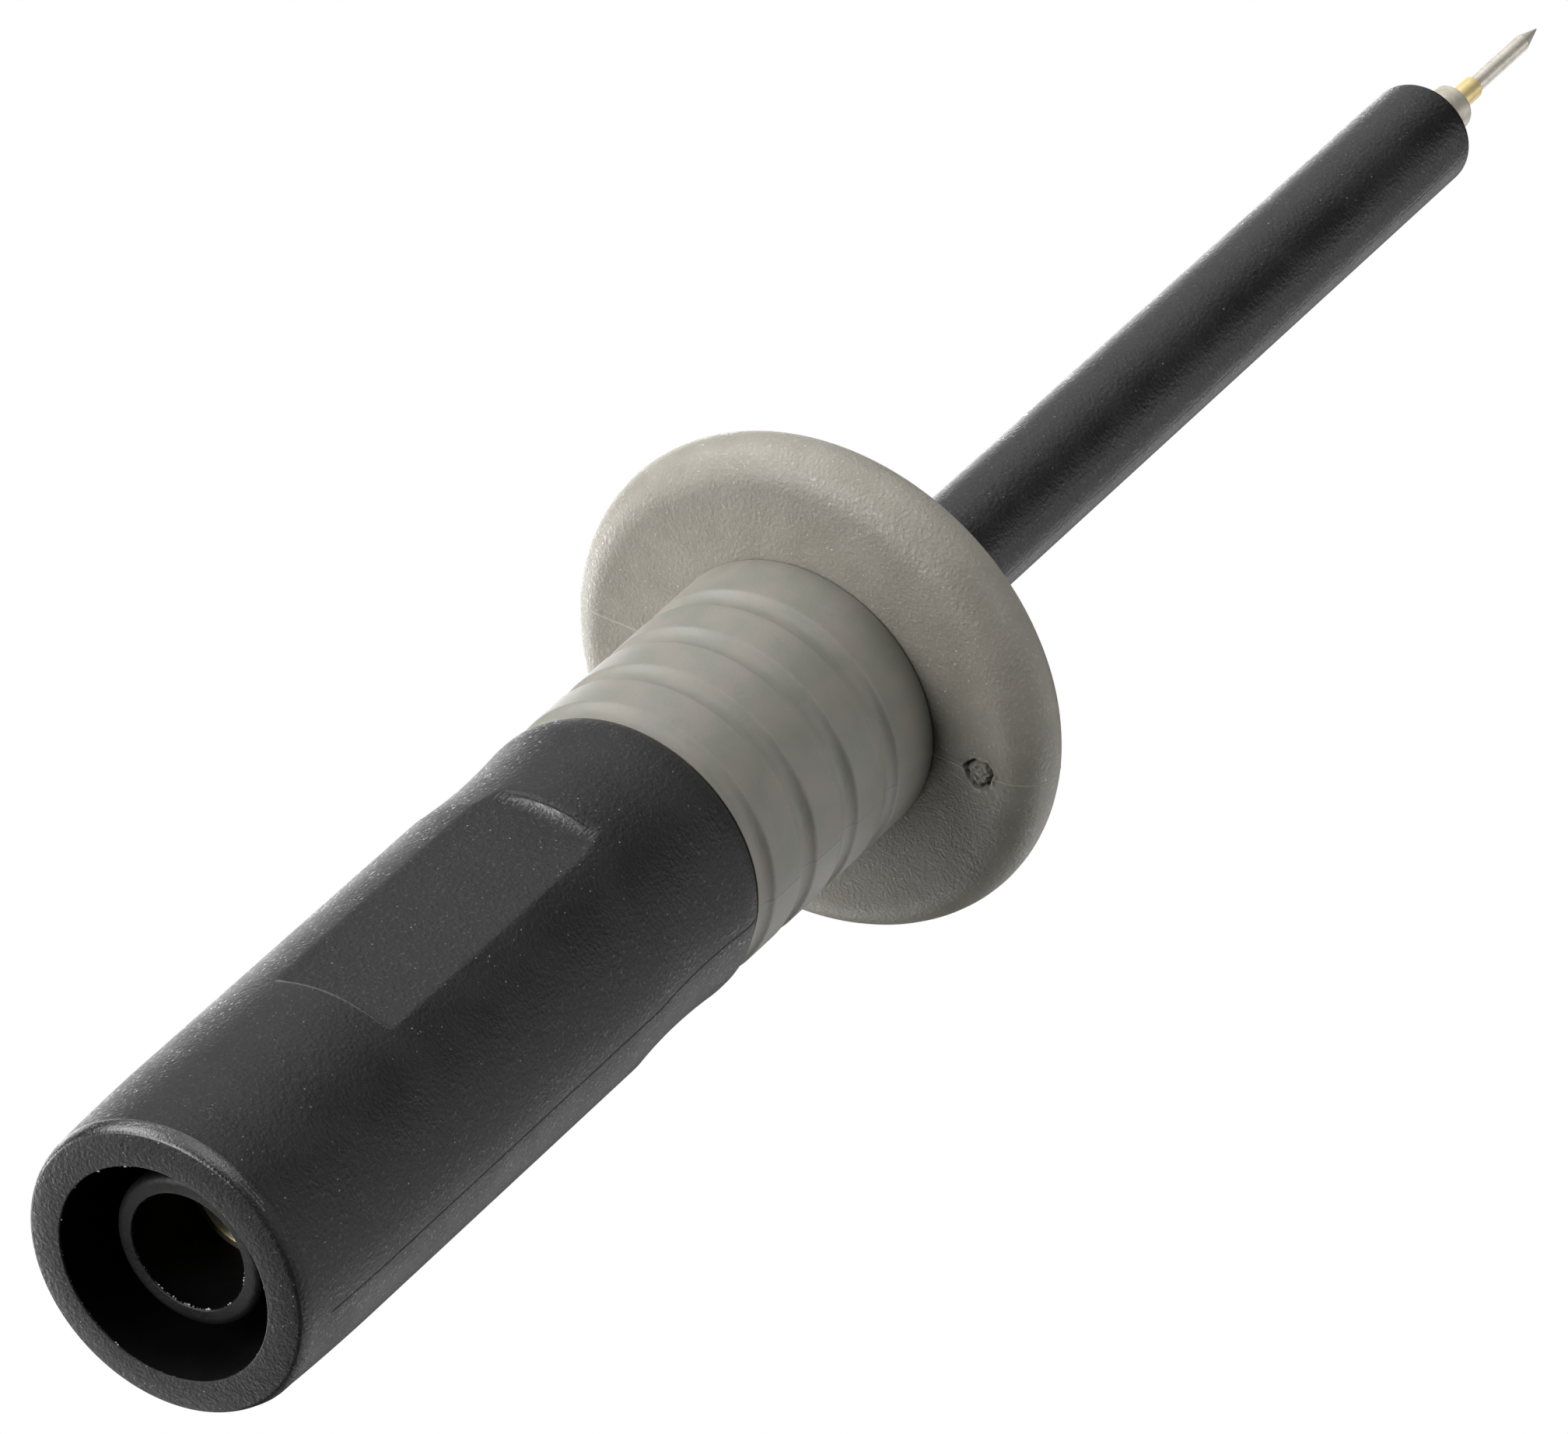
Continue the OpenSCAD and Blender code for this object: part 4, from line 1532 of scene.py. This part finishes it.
@dataclass
class Guard(Assembly):
    """The grey finger guard with its parting line and the scar of its gate."""

    nose_root: float = 1.6
    nose_tip: float = 0.8
    nose_len: float = 4.0
    gate_y: float = -8.5
    gate_r: float = 0.55
    gate_reach: float = 1.1
    moat_depth: float = 0.3
    moat_width: float = 0.075
    lip_height: float = 0.08
    lip_gap: float = 0.15
    nub_height: float = 0.06
    lip_width: float = 0.08
    nub_edge: float = 0.12
    line_fade: float = 0.1
    gate_waves: Waves = ((0.07, 3, 0.6), (0.05, 7, 0), (0.03, 13, 0))
    moat_mean: float = 0.8
    moat_waves: Waves = ((0.2, 2, 0.4),)
    lip_mean: float = 0.5
    lip_waves: Waves = ((0.5, 4, 1.1),)
    line_height: float = 0.016
    line_width: float = 0.028
    columns: int = 180
    gate_columns: Stretch = (180, 7.6, 0.3)
    seam_columns: tuple[float, float] = (1.0, 0.12)
    gate_pitch: float = 0.045
    wall_pitch: float = 0.35
    bore_pitch: float = 1.0

    def __post_init__(self) -> None:
        """Reads the stations from the frame."""
        self.rear_x, self.nose_x, self.disc_r = span("finger_guard")
        self.front_x = self.nose_x - self.nose_len
        self.seat_x = span("handle_body")[1]

    def outline(self) -> Outline:
        """Gives the outline of disc, nose and bores."""
        full_round = (self.front_x - self.rear_x) / 2 * 0.999
        corners = [
            Corner(self.rear_x, CORE_R, 0.1),
            Corner(self.rear_x, self.disc_r, full_round),
            Corner(self.front_x, self.disc_r, full_round),
            Corner(self.front_x, SHAFT_R + self.nose_root, 0.6),
            Corner(self.nose_x, SHAFT_R + self.nose_tip, 0.3),
            Corner(self.nose_x, ROOT_R),
            Corner(self.seat_x, ROOT_R),
            Corner(self.seat_x, CORE_R),
        ]
        return finer(rounded(corners), self._pitch)

    def _pitch(self, x: float, r: float) -> float:
        """Gives the longest step wanted along the outline."""
        if x < self.rear_x + 0.05 and abs(r + self.gate_y) < 0.95:
            return self.gate_pitch
        return self.wall_pitch if r > CORE_R else self.bore_pitch

    def relief(self, at: Skin) -> np.ndarray:
        """Raises the parting line, with the gate's scar in its place on the rear face."""
        skin = (at.out > -0.2) & (at.r > CORE_R + 0.15)
        rear = (at.x < self.rear_x + 0.6) & skin
        line = self.line_height * ridge(at.z, self.line_width)
        side, up = at.r * np.cos(at.turn) - self.gate_y, at.z
        far, angle = np.hypot(side, up), np.arctan2(up, side)
        edge = self.gate_r * (1 + waves(0.0, angle, self.gate_waves))
        moat = ridge(far - edge, self.moat_width) * waves(self.moat_mean, angle, self.moat_waves)
        lip = ridge(far - edge - self.lip_gap, self.lip_width)
        lip = lip * waves(self.lip_mean, angle, self.lip_waves)
        crumbs = 0.05 * np.sin(9 * side + 2) * np.sin(11 * up + 1)
        crumbs = crumbs + 0.03 * np.sin(23 * side) * np.sin(19 * up)
        nub = (self.nub_height + crumbs) * np.clip((edge - far) / self.nub_edge, 0, 1)
        scar = self.lip_height * lip - self.moat_depth * moat + nub
        kept = np.clip((far - edge) / self.line_fade, 0, 1)
        gate = np.where(far < self.gate_reach, line * kept + scar, line)
        return np.where(rear, gate, np.where(skin, line, 0.0))

    def build(self) -> None:
        """Builds the guard."""
        angles = even_angles(self.columns, [self.gate_columns, *seams(*self.seam_columns)])
        grey = Finishes.GREY_GUARD
        piece = self.turned("guard_disc", self.outline(), angles, grey, relief=self.relief)
        settle(piece, Body.PROBE, Slot.GREY_HARD, "finger_guard")


@dataclass
class Shaft(Assembly):
    """The long black insulated shaft."""

    root_cone: float = 0.4
    bore_r: float = 1.07
    front_round: float = 0.6
    seam_depth: float = 0.008
    seam_width: float = 0.04
    columns: int = 96
    seam_columns: tuple[float, float] = (3.2, 0.4)
    pitch: float = 1.2

    def outline(self) -> Outline:
        """Gives the outline of the shaft with its inner flange."""
        first, last, flange_r = span("shaft_sheath")
        nose_x = span("finger_guard")[1]
        corners = [
            Corner(first, self.bore_r),
            Corner(first, flange_r),
            Corner(first + FLANGE_LEN, flange_r),
            Corner(first + FLANGE_LEN, ROOT_R),
            Corner(nose_x, ROOT_R),
            Corner(nose_x + self.root_cone, SHAFT_R),
            Corner(last, SHAFT_R, self.front_round),
            Corner(last, self.bore_r),
        ]
        return finer(rounded(corners), lambda x, r: self.pitch)

    def relief(self, at: Skin) -> np.ndarray:
        """Cuts the faint parting line."""
        outer = (at.out > OUTWARD) & within(at.r, SHAFT_R - 0.3, SHAFT_R + 0.02)
        return np.where(outer, -self.seam_depth * ridge(at.z, self.seam_width), 0.0)

    def build(self) -> None:
        """Builds the shaft."""
        angles = even_angles(self.columns, seams(*self.seam_columns))
        black = Finishes.BLACK_SHAFT
        piece = self.turned("shaft_tube", self.outline(), angles, black, relief=self.relief)
        settle(piece, Body.PROBE, Slot.BLACK, "shaft_sheath")


@dataclass
class Tip(Assembly):
    """The nickel bush, the gold barrel, the needle and its spring."""

    rules: ShapeRules
    receptacle_r: float = 0.66
    bore_clear: float = 0.02
    needle_r: float = 0.385
    neck_r: float = 0.25
    lip_r: float = 0.29
    lip_w: float = 0.5
    lip_gap: float = 0.05
    base_t: float = 0.6
    tail_len: float = 3.0
    guide_len: float = 1.0
    point_len: float = 1.4
    roll_depth: float = 0.07
    wire_r: float = 0.06
    turns: float = 28.0
    travel: float = 4.0
    columns: int = 64

    def __post_init__(self) -> None:
        """Reads the stations from the frame."""
        self.barrel_x, self.mouth_x, self.barrel_r = span("probe_barrel")
        self.tail_x, self.tip_x, _ = span("probe_plunger")
        self.neck_x = self.tail_x + self.tail_len
        self.base_x = self.barrel_x + self.base_t
        self.bore_r = self.needle_r + self.bore_clear

    def bush_outline(self) -> Outline:
        """Gives the outline of the bush."""
        first, last, outer_r = span("tip_bush")
        corners = [
            Corner(first, self.receptacle_r),
            Corner(first, outer_r),
            Corner(last, outer_r, 0.16),
            Corner(last, self.receptacle_r, 0.04),
        ]
        return rounded(corners)

    def barrel_outline(self) -> Outline:
        """Gives the outline of the barrel with its rolled lip and mouth."""
        half = self.lip_w / 2
        lip_x = self.neck_x + self.lip_gap
        arc = arc_radius(half, self.roll_depth)
        rolled_r = self.barrel_r - self.roll_depth + arc
        roll = [
            Corner(lip_x + half + x, rolled_r - math.sqrt(arc * arc - x * x))
            for x in np.linspace(-half, half, 9)
        ]
        corners = [
            Corner(self.barrel_x, 0.0),
            Corner(self.barrel_x, self.barrel_r, 0.08),
            *roll,
            Corner(self.mouth_x, self.barrel_r, 0.07),
            Corner(self.mouth_x, self.bore_r, 0.03),
            Corner(lip_x + self.lip_w, self.bore_r),
            Corner(lip_x + self.lip_w, self.lip_r),
            Corner(lip_x, self.lip_r),
            Corner(lip_x, self.bore_r),
            Corner(self.base_x, self.bore_r),
            Corner(self.base_x, 0.0),
        ]
        return rounded(corners, closed=False)

    def needle_outline(self) -> Outline:
        """Gives the outline of the needle with its neck, tail and point."""
        shoulder_x = self.mouth_x - self.guide_len
        corners = [
            Corner(self.tail_x, 0.0),
            Corner(self.tail_x, self.needle_r, 0.06),
            Corner(self.neck_x, self.needle_r),
            Corner(self.neck_x, self.neck_r),
            Corner(shoulder_x, self.neck_r),
            Corner(shoulder_x, self.needle_r, 0.04),
            Corner(self.tip_x - self.point_len, self.needle_r, 0.1),
            Corner(self.tip_x - 0.02, 0.034, 0.02),
            Corner(self.tip_x, 0.0),
        ]
        return rounded(corners, closed=False)

    def build(self) -> None:
        """Builds the turned pieces and winds the spring."""
        angles = even_angles(self.columns)
        bush = self.turned("tip_bush_turned", self.bush_outline(), angles, Finishes.NICKEL)
        settle(bush, Body.PROBE, Slot.NICKEL, "tip_bush")
        outline = self.barrel_outline()
        barrel = self.turned("barrel_rolled", outline, angles, Finishes.GOLD, closed=False)
        settle(barrel, Body.PROBE, Slot.GOLD, "probe_barrel")
        outline = self.needle_outline()
        needle = self.turned("needle_ground", outline, angles, Finishes.STEEL, closed=False)
        settle(needle, Body.PLUNGER, Slot.STEEL, "probe_plunger")
        self._spring()

    def _spring(self) -> None:
        """Winds the spring between the barrel's base and the needle's tail."""
        start = self.base_x + self.wire_r
        length = self.tail_x - self.wire_r - start
        lengths = {
            "Start": start,
            "Length": length,
            "Coil Radius": self.needle_r - self.wire_r,
            "Wire Radius": self.wire_r,
        }
        turns = {"Turns": self.turns}
        piece = self.grown("plunger_coil", self.rules.coil, Finishes.STEEL, lengths, turns)
        face_outward(piece.data)
        piece.data.shade_smooth()
        settle(piece, Body.PROBE, Slot.STEEL, "plunger_spring")
        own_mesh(piece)


@dataclass
class SealedSolids:
    """The inner solids that keep their own meshes and only get a finish."""

    frame: dict
    finishes: Finishes

    def dress(self) -> None:
        """Gives each sealed solid its finish."""
        rows = {
            "spacer_tube": Finishes.NATURAL,
            "wire_core": Finishes.COPPER,
            "wire_insulation": Finishes.WIRE_JACKET,
            "probe_receptacle": Finishes.BRASS,
        }
        for node, finish in rows.items():
            solid = self.frame["nodes"][node]
            solid.data.materials.clear()
            solid.data.materials.append(self.finishes.of(finish))
            LOG.info("%s: finish %s", node, finish.name)


# ---- studio ----


@dataclass(frozen=True)
class SoftLight:
    """A far, round soft light of the tent.

    Attributes:
        name: The light's name.
        direction: The way from the probe to the light.
        radiance: How bright the light's face is, where white paper in the open is 1.
    """

    name: str
    direction: Colour
    radiance: float


@dataclass
class Studio:
    """The pale floor, the soft lights and the camera.

    The camera's angles and shifts come from the probe's outline in the photograph: how far the axis
    turns from the view, the panel about the axis and the axis in the image, in degrees, and the
    distance and the two shifts in metres.
    """

    photo_w: float = 2016.0
    focal_px: float = 17000.0
    axis_angle: float = 44.6
    panel_turn: float = 33.4
    image_angle: float = 42.23
    depth: float = 0.5
    lead: float = 0.03135
    lift: float = -0.000172
    aim_x: float = -0.0054
    floor_drop: float = 0.09
    floor_half: float = 3.0
    ambient: float = 0.02
    light_angle: float = 34.0
    soft_lights: tuple[SoftLight, ...] = (
        SoftLight("top", (0.14, 0.00, 0.99), 3.09),
        SoftLight("front_left_top", (0.58, 0.49, 0.66), 1.68),
        SoftLight("key_left", (-0.04, 0.80, 0.59), 7.49),
        SoftLight("front_top", (0.83, 0.11, 0.55), 0.68),
        SoftLight("key_rear", (-0.70, 0.48, 0.53), 6.50),
        SoftLight("fill_right", (0.19, -0.84, 0.51), 2.63),
        SoftLight("rear_low", (-0.89, 0.45, 0.09), 4.27),
        SoftLight("front_left", (0.81, 0.58, -0.05), 0.96),
        SoftLight("wall_right", (0.65, -0.76, -0.09), 1.52),
        SoftLight("table_front_left", (0.64, 0.60, -0.49), 3.69),
        SoftLight("table_left", (-0.08, 0.83, -0.55), 6.55),
        SoftLight("table_right", (0.21, -0.74, -0.64), 2.90),
        SoftLight("table_front", (0.66, -0.27, -0.70), 1.27),
        SoftLight("table_rear", (-0.33, 0.32, -0.89), 2.61),
    )

    def _axes(self) -> tuple[Vector, Vector, Vector]:
        """Gives the view direction, the probe's run across the view, and the side."""
        theta, alpha = math.radians(self.axis_angle), math.radians(self.panel_turn)
        axis = Vector((1, 0, 0))
        near = Vector((0, -math.sin(alpha), math.cos(alpha)))
        side = Vector((0, -math.cos(alpha), -math.sin(alpha)))
        forward = axis * math.cos(theta) - near * math.sin(theta)
        along = axis * math.sin(theta) + near * math.cos(theta)
        return forward, along, side

    def camera(self) -> None:
        """Sets the camera where the photograph's was."""
        forward, along, side = self._axes()
        beta = math.radians(self.image_angle)
        right = along * math.cos(beta) + side * math.sin(beta)
        up = along * math.sin(beta) - side * math.cos(beta)
        rear = Vector((self.aim_x, 0, 0))
        place_at = rear - forward * self.depth + along * self.lead - side * self.lift
        data = bpy.data.cameras.new("camera")
        data.sensor_width = 36.0
        data.lens = self.focal_px / self.photo_w * data.sensor_width
        data.clip_start, data.clip_end = 0.01, 20.0
        camera = bpy.data.objects.new("camera", data)
        bpy.context.scene.collection.objects.link(camera)
        turn = Matrix((right, up, -forward)).transposed()
        camera.matrix_world = Matrix.Translation(place_at) @ turn.to_4x4()
        bpy.context.scene.camera = camera

    def floor(self) -> None:
        """Lays the pale floor, a glowing table top that lets the lights below it through."""
        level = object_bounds()[0].z - self.floor_drop
        h = self.floor_half
        mesh = bpy.data.meshes.new("floor")
        corners = [(-h, -h, level), (h, -h, level), (h, h, level), (-h, h, level)]
        mesh.from_pydata(corners, [], [(0, 1, 2, 3)])
        material = bpy.data.materials.new("pale_floor")
        material.use_nodes = True
        s = Sketch(material.node_tree)
        white = s.node("ShaderNodeEmission", {"Strength": 1.0})
        clear = s.node("ShaderNodeBsdfTransparent")
        self._white_to_camera(s, clear, white, "ShaderNodeOutputMaterial")
        place(mesh, material)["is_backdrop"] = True

    @staticmethod
    def _white_to_camera(
        s: Sketch, other: bpy.types.Node, white: bpy.types.Node, out: str
    ) -> None:
        """Ends a material or world that the camera sees as plain white.

        Args:
            s: The tree.
            other: The shader that all other rays meet.
            white: The shader that camera rays meet.
            out: The kind of the output node.
        """
        seen = s.node("ShaderNodeLightPath").outputs["Is Camera Ray"]
        mix = s.node("ShaderNodeMixShader", {0: seen, 1: other.outputs[0], 2: white.outputs[0]})
        s.node(out, {"Surface": mix.outputs[0]})

    def lights(self) -> None:
        """Hangs the soft lights and sets the surrounding white."""
        world = bpy.data.worlds.new("white_tent")
        bpy.context.scene.world = world
        world.use_nodes = True
        s = Sketch(world.node_tree)
        tent, white = (
            s.node("ShaderNodeBackground", {"Color": (1, 1, 1, 1), "Strength": strength})
            for strength in (self.ambient, 1.0)
        )
        self._white_to_camera(s, tent, white, "ShaderNodeOutputWorld")
        face = math.pi * math.sin(math.radians(self.light_angle / 2)) ** 2
        for soft in self.soft_lights:
            data = bpy.data.lights.new(soft.name, "SUN")
            data.angle = math.radians(self.light_angle)
            data.energy = soft.radiance * face
            light = bpy.data.objects.new(soft.name, data)
            bpy.context.scene.collection.objects.link(light)
            light.rotation_mode = "QUATERNION"
            light.rotation_quaternion = Vector(soft.direction).to_track_quat("Z", "Y")

    def build(self) -> None:
        """Builds floor, lights and camera."""
        self.floor()
        self.lights()
        self.camera()
        bpy.context.scene.view_settings.view_transform = "Standard"


def main() -> None:
    """Builds the probe's pieces in order, then the studio."""
    logging.basicConfig(level=logging.INFO, format="%(name)s: %(message)s")
    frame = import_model()
    SurfaceEffects().build()
    finishes = Finishes()
    rules = ShapeRules()
    Handle(finishes).build()
    Socket(finishes, rules).build()
    Grip(finishes, rules).build()
    Guard(finishes).build()
    Shaft(finishes).build()
    Tip(finishes, rules).build()
    SealedSolids(frame, finishes).dress()
    Studio().build()


if __name__ == "__main__":
    main()
